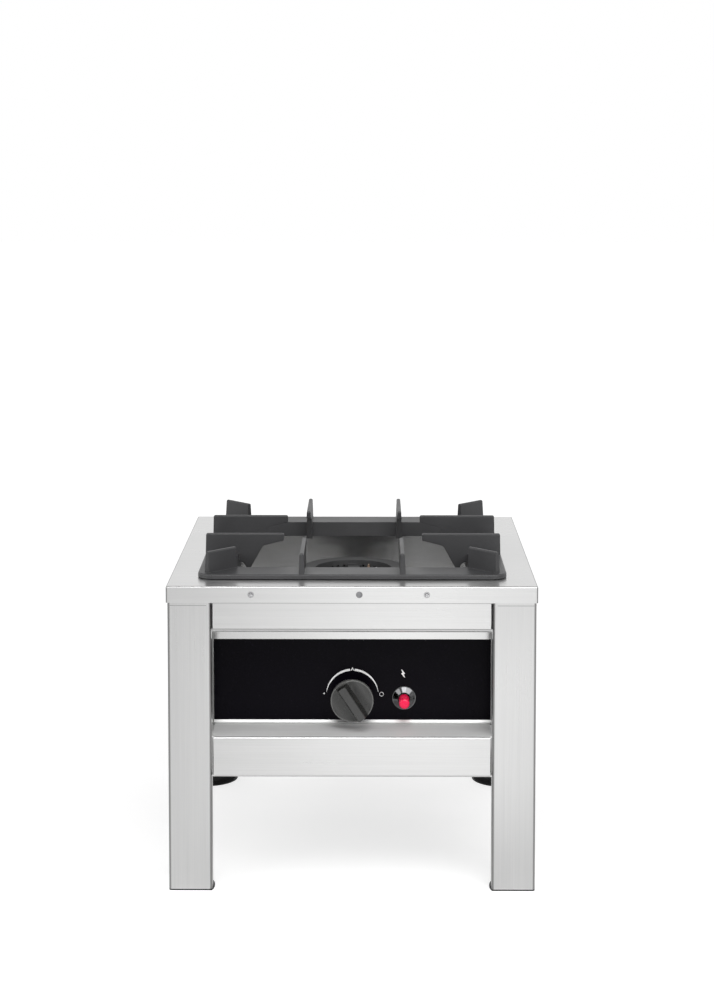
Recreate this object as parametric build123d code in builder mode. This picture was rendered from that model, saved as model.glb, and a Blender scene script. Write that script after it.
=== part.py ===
from build123d import *
from math import cos, degrees, radians, sin
import os

os.makedirs("parts", exist_ok=True)

# Single-ring stockpot stove with a lift-off cast pan support.
# Millimetres. +X is right, +Y is to the back, +Z is up, and the origin is on the floor under the centre.

# Overall size
TOP_WIDTH = 400.0
TOP_DEPTH = 400.0
TOP_HEIGHT = 335.0

# Folded sheet
SHEET = 1.5
PANEL_SHEET = 1.2
BEND = 1.5

# Top plate
SKIRT_DROP = 18.0
TOP_EDGE_RADIUS = 2.0
OPENING = 276.0
OPENING_RADIUS = 20.0

# Legs and feet
LEG_SIZE = 47.0
LEG_LIP = 14.0
FOOT_PAD = 1.5
FOOT_REACH = 46.5
FOOT_BULGE = 54.0
FOOT_PLUG_HEIGHT = 22.0
FOOT_FIT = 0.25
FOOT_LIP_GAP = 1.0

# Rails
RAIL_END_GAP = 2.0
LOWER_RAIL_HEIGHT = 44.5
UPPER_RAIL_HEIGHT = 50.0
RAIL_TOP_FLANGE = 20.0
RAIL_LIP = 12.0
CORNER_GAP = 0.6

# Recessed casing between the legs
CASING_SIZE = 300.0
LEDGE_UNDER_CASING = 2.0
PANEL_WIDTH = 328.0
FILM_WIDTH = 305.0
FILM_ABOVE_LEDGE = 5.0
FILM_UNDER_RAIL = 20.0
FILM_THICKNESS = 0.4

# Skirt fasteners, seen from the front
RIVET_DROP = 9.0
RIVET_PLACES = (-108.5, 80.5)
RIVET_HEAD_RADIUS = 3.2
RIVET_SHANK_RADIUS = 2.0
RIVET_DISH_RADIUS = 2.2
RIVET_DISH_DEPTH = 0.8
RIVET_TAIL = 3.5
SCREW_PLACE = 8.0
SCREW_HEAD_RADIUS = 3.4
SCREW_DISH_RADIUS = 3.1
SCREW_DISH_DEPTH = 0.3
HOLE_CLEARANCE = 0.15

# Front heat shield
SHIELD_WIDTH = 143.0
SHIELD_HEIGHT = 66.0
SHIELD_STANDOFF = 13.0
SHIELD_TOP_GAP = 4.0

# Controls
KNOB_ABOVE_LEDGE = 8.8
KNOB_RADIUS = 24.2
KNOB_DEPTH = 20.0
KNOB_DRAFT = 10.0
KNOB_SKIRT = 8.0
KNOB_SCOOP = 2.0
KNOB_RIDGE_ROOT = 13.5
KNOB_RIDGE_FRONT = 7.6
KNOB_RIDGE_TAPER = 2.2
KNOB_RIDGE_EDGE = 0.6
KNOB_LEAN = 34.0
KNOB_BACK_EDGE = 3.0
KNOB_GAP = 20.0
KNOB_PUSH = 4.0
KNOB_BORE_DEPTH = 14.0
KNOB_WALL = 2.5
KNOB_HOLLOW = 3.0
KNOB_BOSS = 7.5
SPINDLE_RADIUS = 4.0
SPINDLE_FLAT = 2.6
SPINDLE_INSET = 0.5
SHAFT_FIT = 0.04
PANEL_HOLE_RADIUS = 6.0

IGNITER_PLACE = 57.0
IGNITER_DROP = 3.3
BEZEL_RADIUS = 13.1
BEZEL_FLANGE = 1.3
BEZEL_RIM = 1.0
BEZEL_RIM_CHAMFER = 0.4
BEZEL_FLARE = 9.0
BEZEL_FLARE_DEPTH = 3.5
BEZEL_NECK = 7.0
BEZEL_DEPTH = 7.5
BUTTON_RADIUS = 5.65
BUTTON_PROUD = 26.5
BUTTON_EDGE = 3.0
BUTTON_CROWN = 2.4
BUTTON_TAIL = 11.0
BUTTON_PUSH = 6.0
BUTTON_FIT = 0.25
IGNITER_RADIUS = 8.0
IGNITER_LENGTH = 38.0
IGNITER_TAIL = 8.0
IGNITER_TAIL_RADIUS = 3.2
IGNITER_NUT = 24.0
NUT_THICKNESS = 5.0

# Valve
BRACKET_HALF_WIDTH = 32.0
BRACKET_HEIGHT = 40.0
BRACKET_FOOT = 9.0
BRACKET_STANDOFF = 9.0
BONNET_SIZE = 32.0
BONNET_THICKNESS = 5.0
BONNET_CORNER = 4.0
VALVE_RADIUS = 13.0
VALVE_LENGTH = 36.0
VALVE_EDGE = 1.5
VALVE_PORT = 21.0
PORT_RADIUS = 8.0
PORT_REACH = 19.0
PILOT_PORT_PLACE = 28.0
PILOT_PORT_RADIUS = 4.5
MAGNET_RADIUS = 9.0
MAGNET_LENGTH = 18.0
MAGNET_STEP = 3.0
MAGNET_NECK = 4.0
MAGNET_SLOPE = 2.0
PIN_RADIUS = 2.0
PIN_LENGTH = 16.0
VALVE_SCREW_SPACING = 22.0
SMALL_SCREW_RADIUS = 2.0
SMALL_HEAD_RADIUS = 3.6
SMALL_HEAD = 2.4
HEAD_TAPER = 0.8

# Gas pipes
PIPE_RADIUS = 6.0
PIPE_BORE = 5.0
PIPE_BEND = 26.0
OUTLET_RADIUS = 5.0
OUTLET_STRAIGHT = 0.5
PIPE_SEAT = 7.0
PIPE_NUT = 20.0
PIPE_NUT_LENGTH = 10.0
INLET_PLACE = -110.0
INLET_RADIUS = 10.48
INLET_BORE = 7.5
INLET_THREAD = 36.0
THREAD_RELIEF = 2.0
THREAD_RELIEF_DEPTH = 0.8
INLET_HEX = 25.0
INLET_HEX_LENGTH = 18.0
LOCKNUT = 30.0
LOCKNUT_LENGTH = 7.0

# Burner
BURNER_SINK = 23.0
BURNER_RADIUS = 64.0
BURNER_INNER = 41.0
BURNER_FLARE = 4.0
BURNER_RING_HEIGHT = 24.0
BURNER_WALL = 4.0
HUB_RADIUS = 17.0
HUB_RISE = 4.0
HUB_EDGE = 3.0
SPOKE_WIDTH = 14.0
SPOKE_HEIGHT = 16.0
SPOKE_COUNT = 3
PORT_COUNT = 36
FLAME_PORT_RADIUS = 1.3
FLAME_PORT_DROP = 7.0
MIXER_DROP = 72.0
OUTLET_RISE = 37.0
MIXER_RADIUS = 14.0
MIXER_WALL = 3.0
MIXER_MOUTH = 66.0
MOUTH_RADIUS = 20.0
MOUTH_LENGTH = 12.0
BOSS_REACH = 26.0
BOSS_LENGTH = 8.0
BOSS_RADIUS = 11.0
BOSS_BORE = 6.1
ARM_THICKNESS = 5.0
ARM_ROOT = 2.0
ARM_STEP = 3.0
EAR_THICKNESS = 8.0
EAR_RADIUS = 8.0
EAR_PLACE = 36.0
SHUTTER_WALL = 1.0
SHUTTER_FIT = 0.3
SHUTTER_WINDOW = 9.0
SHUTTER_REACH = 16.0
HOLDER_HEX = 17.0
HOLDER_HEX_LENGTH = 8.0
HOLDER_FIT = 0.1
INJECTOR_STANDOFF = 2.0
INJECTOR_HEX = 8.0
INJECTOR_LENGTH = 6.0
INJECTOR_HOLE = 0.8
HOLDER_WALL = 2.0

# Burner bars
BAR_GAP = 14.0
BAR_WIDTH = 16.0
BAR_SHEET = 2.0
BAR_TAB = 16.0
BAR_SCREW_RADIUS = 2.5
BAR_HEAD_RADIUS = 4.5
BAR_HEAD = 2.8
BURNER_SCREW_RADIUS = 3.0
BURNER_HEAD_RADIUS = 5.0
BURNER_HEAD = 3.5
BURNER_SCREW_TAIL = 6.0
PILOT_SCREW_TAIL = 3.0

# Pilot set
PILOT_RING = 29.0
PILOT_ANGLE = 30.0
THERMOCOUPLE_ANGLE = 52.0
ELECTRODE_ANGLE = 8.0
PILOT_PLATE_DROP = 2.5
PILOT_PLATE_FROM = 18.5
PILOT_PLATE_TO = 42.0
PILOT_PLATE_FRONT = -1.5
PILOT_RADIUS = 4.5
PILOT_RISE = 19.0
PILOT_TUBE_RADIUS = 2.0
PILOT_TUBE_BEND = 10.0
THERMOCOUPLE_RADIUS = 2.2
THERMOCOUPLE_RISE = 26.0
THERMOCOUPLE_TAIL = 6.0
LEAD_RADIUS = 1.3
CERAMIC_RADIUS = 3.0
CERAMIC_RISE = 16.0
CERAMIC_TAIL = 10.0
CERAMIC_COLLAR = 1.2
CERAMIC_COLLAR_HEIGHT = 3.0
ELECTRODE_RADIUS = 1.0
ELECTRODE_FIT = 0.05
ELECTRODE_RISE = 10.0
ELECTRODE_DIP = 2.0
ELECTRODE_BEND = 3.0
IGNITION_LEAD_RADIUS = 2.2
LEAD_BEND = 14.0

# Routes of the pilot's tube and the leads
PILOT_TUBE_FALL = 57.5
PILOT_TUBE_SWAY = 6.0
PILOT_TUBE_TURN = 44.0
MIXER_ROUTE = -34.0
THERMOCOUPLE_FALL = 63.5
THERMOCOUPLE_SWAY = 4.0
THERMOCOUPLE_ROUTE = -12.0
LEAD_FALL = 49.5
LEAD_SWAY = 12.0
LEAD_ROUTE = -31.0
LEAD_RUN = 31.0

# Pan support
SUPPORT_SIZE = 338.0
SUPPORT_RADIUS = 17.0
SUPPORT_RISE = 29.0
RING_PAD = 1.0
RING_THICKNESS = 5.0
PAD_PLACE = 78.0
PAD_LENGTH = 26.0
PAD_WIDTH = 14.0
SKIRT_CLEARANCE = 1.5
SUPPORT_SKIRT = 5.5
SUPPORT_SKIRT_DROP = 11.0
SUPPORT_SKIRT_FLARE = 2.0
FIN_PLACE = 55.0
FIN_OUTER = 168.0
FIN_TIP = 79.0
FIN_TIP_DEPTH = 8.0
FIN_KNEE = 103.0
FIN_KNEE_DEPTH = 14.0
FIN_FOOT = 118.0
FIN_FOOT_WIDTH = 4.0
FIN_DEPTH = 41.0
FIN_TOP = 4.6
FIN_BASE = 7.6
FIN_CREST = 1.2
ARCH_RISE = 4.0
CORNER_FIN_FROM = 183.0
CORNER_FIN_TO = 225.0
FIN_KNEE_RADIUS = 6.0
FIN_END_RADIUS = 2.0
RING_EDGE = 2.0

# Places worked out from the sizes above
half_width = TOP_WIDTH / 2
half_depth = TOP_DEPTH / 2
plate_under = TOP_HEIGHT - SHEET
# Heights: the burner hangs from the top, the valve from the burner, and the ledge from the knob
burner_top = TOP_HEIGHT - BURNER_SINK
mixer_height = burner_top - MIXER_DROP
bar_top = mixer_height + MIXER_RADIUS + BAR_GAP
knob_height = mixer_height - OUTLET_RISE
igniter_height = knob_height - IGNITER_DROP
ledge = knob_height - KNOB_RADIUS - KNOB_ABOVE_LEDGE
upper_rail_bottom = TOP_HEIGHT - UPPER_RAIL_HEIGHT
film_bottom = ledge + FILM_ABOVE_LEDGE
film_top = upper_rail_bottom - FILM_UNDER_RAIL
rivet_height = TOP_HEIGHT - RIVET_DROP
leg_outer_x = half_width - SHEET
leg_outer_y = half_depth - SHEET
leg_inner_x = leg_outer_x - LEG_SIZE
leg_inner_y = leg_outer_y - LEG_SIZE
fold_radius = BEND + SHEET / 2
casing = CASING_SIZE / 2
casing_inner = casing - PANEL_SHEET
panel_front = -casing
panel_back = -casing_inner
film_front = panel_front - FILM_THICKNESS
knob_back = film_front - KNOB_GAP
spindle_front = knob_back - KNOB_BORE_DEPTH + SPINDLE_INSET
bracket_back = panel_back + BRACKET_STANDOFF + SHEET
bonnet_back = bracket_back + BONNET_THICKNESS
valve_back = bonnet_back + VALVE_LENGTH
port_y = bonnet_back + VALVE_PORT
spindle_back = port_y - PORT_RADIUS
pilot_port_y = bonnet_back + PILOT_PORT_PLACE
ring_bottom = burner_top - BURNER_RING_HEIGHT
pilot_plate_top = ring_bottom - PILOT_PLATE_DROP
hub_top = burner_top - HUB_RISE
boss_front = -(MIXER_MOUTH + BOSS_REACH)
holder_front = boss_front - HOLDER_HEX_LENGTH
fin_top = TOP_HEIGHT + SUPPORT_RISE
skirt_holes = [(x, rivet_height) for x in RIVET_PLACES + (SCREW_PLACE,)]
shank_hole = RIVET_SHANK_RADIUS + HOLE_CLEARANCE
small_screw_hole = SMALL_SCREW_RADIUS + HOLE_CLEARANCE
bar_screw_hole = BAR_SCREW_RADIUS + HOLE_CLEARANCE
burner_screw_hole = BURNER_SCREW_RADIUS + HOLE_CLEARANCE
igniter_hole = IGNITER_RADIUS + HOLE_CLEARANCE
ring_under = TOP_HEIGHT + RING_PAD
ring_top = ring_under + RING_THICKNESS
shield_bottom = TOP_HEIGHT - SUPPORT_SKIRT_DROP - SHIELD_TOP_GAP - SHIELD_HEIGHT
SIDES = (("left", -1), ("right", 1))
CORNERS = (("front_left", -1, -1), ("front_right", 1, -1), ("rear_right", 1, 1), ("rear_left", -1, 1))


def save(piece, name, turn=0):
    # Writes one piece, turned about the upright axis when its place is on another side.
    solid = piece.part.rotate(Axis.Z, turn) if turn else piece.part
    solid.label = name
    export_step(solid, f"parts/{name}.step")


def facing_front(x, y, z):
    # A plane that looks towards the user: local X is right and local Y is up.
    return Plane(origin=(x, y, z), x_dir=(1, 0, 0), z_dir=(0, -1, 0))


def facing_back(x, y, z):
    # A plane that looks towards the back: local Y is up.
    return Plane(origin=(x, y, z), x_dir=(-1, 0, 0), z_dir=(0, 1, 0))


def facing_side(x, y, z, side):
    # A plane that looks left (side -1) or right (side +1): local Y is up.
    return Plane(origin=(x, y, z), x_dir=(0, side, 0), z_dir=(side, 0, 0))


def corner_plane(sx, sy, z):
    # A level plane at a leg's outer corner, whose local X and Y run inwards along its two faces.
    x_dir = (-sx, 0, 0) if sx == sy else (0, -sy, 0)
    return Plane(origin=(sx * leg_outer_x, sy * leg_outer_y, z), x_dir=x_dir, z_dir=(0, 0, 1))


def turned(plane, outline):
    # A round piece about the plane's normal, from (radius, height) points.
    section = Plane(origin=plane.origin, x_dir=plane.x_dir, z_dir=-plane.y_dir)
    with BuildPart() as piece:
        with BuildSketch(section):
            with BuildLine():
                Polyline(*outline, close=True)
            make_face()
        revolve(axis=Axis(plane.origin, plane.z_dir))
    return piece


def hexagon_nut(plane, across, thickness, bore):
    with BuildPart() as nut:
        with BuildSketch(plane):
            RegularPolygon(across / 2, 6, major_radius=False)
            Circle(bore, mode=Mode.SUBTRACT)
        extrude(amount=thickness)
    return nut


def headed_screw(plane, shank, length, head_radius, head):
    # A screw whose head stands on the plane, with its shank below.
    return turned(plane, [
        (0, -length),
        (shank, -length),
        (shank, 0),
        (head_radius, 0),
        (head_radius * HEAD_TAPER, head),
        (0, head),
    ])


def bent_tube(points, bend, radius, bore=0):
    # A pipe or lead along straight runs joined by arcs.
    with BuildPart() as tube:
        with BuildLine() as route:
            FilletPolyline(*points, radius=bend)
        with BuildSketch(Plane(origin=route.wires()[0] @ 0, z_dir=route.wires()[0] % 0)):
            Circle(radius)
            if bore:
                Circle(bore, mode=Mode.SUBTRACT)
        sweep(path=route.wires()[0])
    return tube


# Top plate with its skirt and opening
with BuildPart() as top_plate:
    with BuildSketch(Plane.XY.offset(TOP_HEIGHT - SKIRT_DROP)):
        RectangleRounded(TOP_WIDTH, TOP_DEPTH, TOP_EDGE_RADIUS)
    extrude(amount=SKIRT_DROP)
    fillet(top_plate.faces().sort_by(Axis.Z)[-1].edges(), radius=TOP_EDGE_RADIUS * 0.9)
    with BuildSketch(Plane.XY.offset(TOP_HEIGHT - SKIRT_DROP)):
        RectangleRounded(2 * leg_outer_x, 2 * leg_outer_y, TOP_EDGE_RADIUS / 2)
    extrude(amount=SKIRT_DROP - SHEET, mode=Mode.SUBTRACT)
    with BuildSketch(Plane.XY.offset(TOP_HEIGHT)):
        RectangleRounded(OPENING, OPENING, OPENING_RADIUS)
    extrude(amount=-2 * SHEET, mode=Mode.SUBTRACT)
    # Countersunk holes in the front skirt for its two rivets and one screw
    for x, height in skirt_holes:
        head_radius = SCREW_HEAD_RADIUS if x == SCREW_PLACE else RIVET_HEAD_RADIUS
        with Locations(facing_front(x, -half_depth, height)):
            CounterSinkHole(shank_hole, head_radius + HOLE_CLEARANCE, depth=2 * SHEET)
save(top_plate, "top_plate")

# Folded legs, open towards the middle of the stove, each on a plastic foot with a plug inside the leg
for corner, sx, sy in CORNERS:
    with BuildPart() as leg:
        with BuildSketch(corner_plane(sx, sy, FOOT_PAD)):
            with BuildLine():
                FilletPolyline(
                    (LEG_SIZE - SHEET / 2, LEG_LIP),
                    (LEG_SIZE - SHEET / 2, SHEET / 2),
                    (SHEET / 2, SHEET / 2),
                    (SHEET / 2, LEG_SIZE - SHEET / 2),
                    (LEG_LIP, LEG_SIZE - SHEET / 2),
                    radius=fold_radius,
                )
            trace(line_width=SHEET)
        extrude(amount=plate_under - FOOT_PAD)
    save(leg, f"leg_{corner}")

    bulge = FOOT_BULGE * sin(radians(45))
    plug_near = SHEET + FOOT_FIT
    plug_far = LEG_SIZE - SHEET - FOOT_FIT
    plug_shoulder = LEG_LIP + FOOT_LIP_GAP
    with BuildPart() as foot:
        with BuildSketch(corner_plane(sx, sy, 0)):
            with BuildLine():
                Line((0, 0), (FOOT_REACH, 0))
                ThreePointArc((FOOT_REACH, 0), (bulge, bulge), (0, FOOT_REACH))
                Line((0, FOOT_REACH), (0, 0))
            make_face()
            fillet(vertices().sort_by_distance(Vector(0, 0))[0], radius=BEND + SHEET)
        extrude(amount=FOOT_PAD)
        with BuildSketch(corner_plane(sx, sy, FOOT_PAD)):
            with BuildLine():
                Polyline(
                    (plug_near, plug_near),
                    (plug_far, plug_near),
                    (plug_far, plug_shoulder),
                    (plug_shoulder, plug_far),
                    (plug_near, plug_far),
                    close=True,
                )
            make_face()
            for folded in ((plug_near, plug_near), (plug_far, plug_near), (plug_near, plug_far)):
                fillet(vertices().sort_by_distance(Vector(*folded))[0], radius=BEND + FOOT_FIT)
        extrude(amount=FOOT_PLUG_HEIGHT, taper=0.5)
    save(foot, f"foot_{corner}")


def channel(half_length, face, bottom, top, top_reach, low_reach, corner_cut, holes=()):
    # A folded channel along the front, whose flanges run back to top_reach and low_reach.
    inner_reach = min(top_reach, low_reach)
    with BuildPart() as rail:
        with BuildSketch(Plane.YZ.offset(-half_length)):
            with BuildLine():
                FilletPolyline(
                    (-top_reach, top - SHEET / 2),
                    (SHEET / 2 - face, top - SHEET / 2),
                    (SHEET / 2 - face, bottom + SHEET / 2),
                    (-low_reach, bottom + SHEET / 2),
                    radius=fold_radius,
                )
            trace(line_width=SHEET)
        extrude(amount=2 * half_length)
        # The flanges reach the legs, and the outer face stops short of them.
        with BuildSketch(Plane.XY.offset(bottom)):
            with Locations((-half_length, -face), (half_length, -face)):
                Rectangle(2 * RAIL_END_GAP, 2 * (SHEET + BEND))
        extrude(amount=top - bottom, mode=Mode.SUBTRACT)
        if corner_cut:
            with BuildSketch(Plane.XY.offset(bottom)):
                with Locations((-half_length, -inner_reach), (half_length, -inner_reach)):
                    Rectangle(corner_cut * 2 ** 0.5, corner_cut * 2 ** 0.5, rotation=45)
            extrude(amount=top - bottom, mode=Mode.SUBTRACT)
        if holes:
            with BuildSketch(facing_front(0, -face, 0)):
                with Locations(*holes):
                    Circle(shank_hole)
            extrude(amount=-2 * SHEET, mode=Mode.SUBTRACT)
    return rail


# Rails on the four sides: the lower channel's top is the ledge that the casing stands on
ledge_reach = casing - LEDGE_UNDER_CASING
lower_rail_bottom = ledge - LOWER_RAIL_HEIGHT
for turn, (side, half_length, face) in enumerate((
    ("front", leg_inner_x, leg_outer_y),
    ("right", leg_inner_y, leg_outer_x),
    ("rear", leg_inner_x, leg_outer_y),
    ("left", leg_inner_y, leg_outer_x),
)):
    # The side rails' flanges are cut back at the corners for the front and rear ledges and panels.
    crossing = side in ("left", "right")
    ledge_cut = 2 * (half_length - ledge_reach) + CORNER_GAP if crossing else 0
    flange_cut = PANEL_WIDTH / 2 - casing + half_length - casing_inner + CORNER_GAP if crossing else 0
    lower = channel(half_length, face, lower_rail_bottom, ledge, ledge_reach, face - RAIL_LIP, ledge_cut)
    save(lower, f"lower_rail_{side}", 90 * turn)
    upper_reach = face - RAIL_TOP_FLANGE
    holes = skirt_holes if side == "front" else ()
    upper = channel(half_length, face, upper_rail_bottom, plate_under, upper_reach, casing, flange_cut, holes)
    save(upper, f"upper_rail_{side}", 90 * turn)

# Skirt fasteners, flush in their countersinks: two blind rivets with dished heads, and one screw
def skirt_fastener(x, head_radius, dish_radius, dish_depth):
    # The head tapers at 45 degrees, as its countersink does.
    tail = -2 * SHEET - RIVET_TAIL
    shoulder = RIVET_SHANK_RADIUS - head_radius
    return turned(facing_front(x, -half_depth, rivet_height), [
        (0, tail),
        (RIVET_HEAD_RADIUS * 0.8, tail),
        (RIVET_HEAD_RADIUS * 0.8, -2 * SHEET),
        (RIVET_SHANK_RADIUS, -2 * SHEET),
        (RIVET_SHANK_RADIUS, shoulder),
        (head_radius, 0),
        (dish_radius, 0),
        (dish_radius * 0.6, -dish_depth),
        (0, -dish_depth),
    ])


with BuildPart() as skirt_rivets:
    for x in RIVET_PLACES:
        add(skirt_fastener(x, RIVET_HEAD_RADIUS, RIVET_DISH_RADIUS, RIVET_DISH_DEPTH).part)
save(skirt_rivets, "skirt_rivets")
save(skirt_fastener(SCREW_PLACE, SCREW_HEAD_RADIUS, SCREW_DISH_RADIUS, SCREW_DISH_DEPTH), "skirt_screw")

# Casing: control panel with its film, side panels and back panel, standing on the ledges
panel_height = plate_under - ledge
panel_middle = (plate_under + ledge) / 2
with BuildPart() as control_panel:
    with BuildSketch(facing_front(0, panel_front, panel_middle)):
        Rectangle(PANEL_WIDTH, panel_height)
        with Locations((0, knob_height - panel_middle)):
            Circle(PANEL_HOLE_RADIUS, mode=Mode.SUBTRACT)
        with Locations((IGNITER_PLACE, igniter_height - panel_middle)):
            Circle(igniter_hole, mode=Mode.SUBTRACT)
    extrude(amount=-PANEL_SHEET)
save(control_panel, "control_panel")

film_middle = (film_bottom + film_top) / 2
with BuildPart() as panel_film:
    with BuildSketch(facing_front(0, panel_front, film_middle)):
        Rectangle(FILM_WIDTH, film_top - film_bottom)
        with Locations((0, knob_height - film_middle)):
            Circle(PANEL_HOLE_RADIUS, mode=Mode.SUBTRACT)
        with Locations((IGNITER_PLACE, igniter_height - film_middle)):
            Circle(igniter_hole, mode=Mode.SUBTRACT)
    extrude(amount=FILM_THICKNESS)
save(panel_film, "panel_film")

tab_screw_height = bar_top - BAR_TAB / 2 - BAR_SHEET / 2
for name, side in SIDES:
    with BuildPart() as side_panel:
        with BuildSketch(facing_side(side * casing, 0, panel_middle, side)):
            Rectangle(2 * casing_inner, panel_height)
            with Locations(*[(place, tab_screw_height - panel_middle) for place in (-EAR_PLACE, EAR_PLACE)]):
                Circle(bar_screw_hole, mode=Mode.SUBTRACT)
        extrude(amount=-PANEL_SHEET)
    save(side_panel, f"side_panel_{name}")

with BuildPart() as back_panel:
    with BuildSketch(facing_back(0, casing, panel_middle)):
        Rectangle(PANEL_WIDTH, panel_height)
        with Locations((-INLET_PLACE, knob_height - panel_middle)):
            Circle(INLET_RADIUS + HOLE_CLEARANCE, mode=Mode.SUBTRACT)
    extrude(amount=-PANEL_SHEET)
save(back_panel, "back_panel")

# Heat shield that hangs behind the control panel
with BuildPart() as heat_shield:
    with BuildSketch(Plane.XY.offset(shield_bottom)):
        with BuildLine():
            shield_y = panel_back + SHIELD_STANDOFF
            shield_x = SHIELD_WIDTH / 2 - PANEL_SHEET / 2
            FilletPolyline(
                (-shield_x, panel_back),
                (-shield_x, shield_y),
                (shield_x, shield_y),
                (shield_x, panel_back),
                radius=BEND + PANEL_SHEET / 2,
            )
        trace(line_width=PANEL_SHEET)
    extrude(amount=SHIELD_HEIGHT)
save(heat_shield, "heat_shield")

# Bars that carry the burner from one side panel to the other
for name, sy in (("front", -1), ("rear", 1)):
    with BuildPart() as bar:
        bar_end = casing_inner - BAR_SHEET / 2
        with BuildSketch(Plane.XZ.offset(-sy * EAR_PLACE)):
            with BuildLine():
                FilletPolyline(
                    (-bar_end, bar_top - BAR_TAB),
                    (-bar_end, bar_top - BAR_SHEET / 2),
                    (bar_end, bar_top - BAR_SHEET / 2),
                    (bar_end, bar_top - BAR_TAB),
                    radius=BEND + BAR_SHEET / 2,
                )
            trace(line_width=BAR_SHEET)
        extrude(amount=BAR_WIDTH / 2, both=True)
        with BuildSketch(Plane.XY.offset(bar_top)):
            with Locations((0, sy * EAR_PLACE)):
                Circle(burner_screw_hole)
        extrude(amount=-2 * BAR_SHEET, mode=Mode.SUBTRACT)
        with BuildSketch(facing_side(casing, sy * EAR_PLACE, tab_screw_height, 1)):
            Circle(bar_screw_hole)
        extrude(amount=-CASING_SIZE, mode=Mode.SUBTRACT)
        if sy > 0:
            with BuildSketch(Plane.XY.offset(bar_top)):
                with Locations(((PILOT_PLATE_FROM + PILOT_PLATE_TO) / 2, sy * EAR_PLACE)):
                    Circle(small_screw_hole)
            extrude(amount=-2 * BAR_SHEET, mode=Mode.SUBTRACT)
    save(bar, f"burner_bar_{name}")

screw_length = PANEL_SHEET + 2 * BAR_SHEET
with BuildPart() as bar_screws:
    for name, side in SIDES:
        for sy in (-1, 1):
            seat = facing_side(side * casing, sy * EAR_PLACE, tab_screw_height, side)
            add(headed_screw(seat, BAR_SCREW_RADIUS, screw_length, BAR_HEAD_RADIUS, BAR_HEAD).part)
save(bar_screws, "bar_screws")

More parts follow.
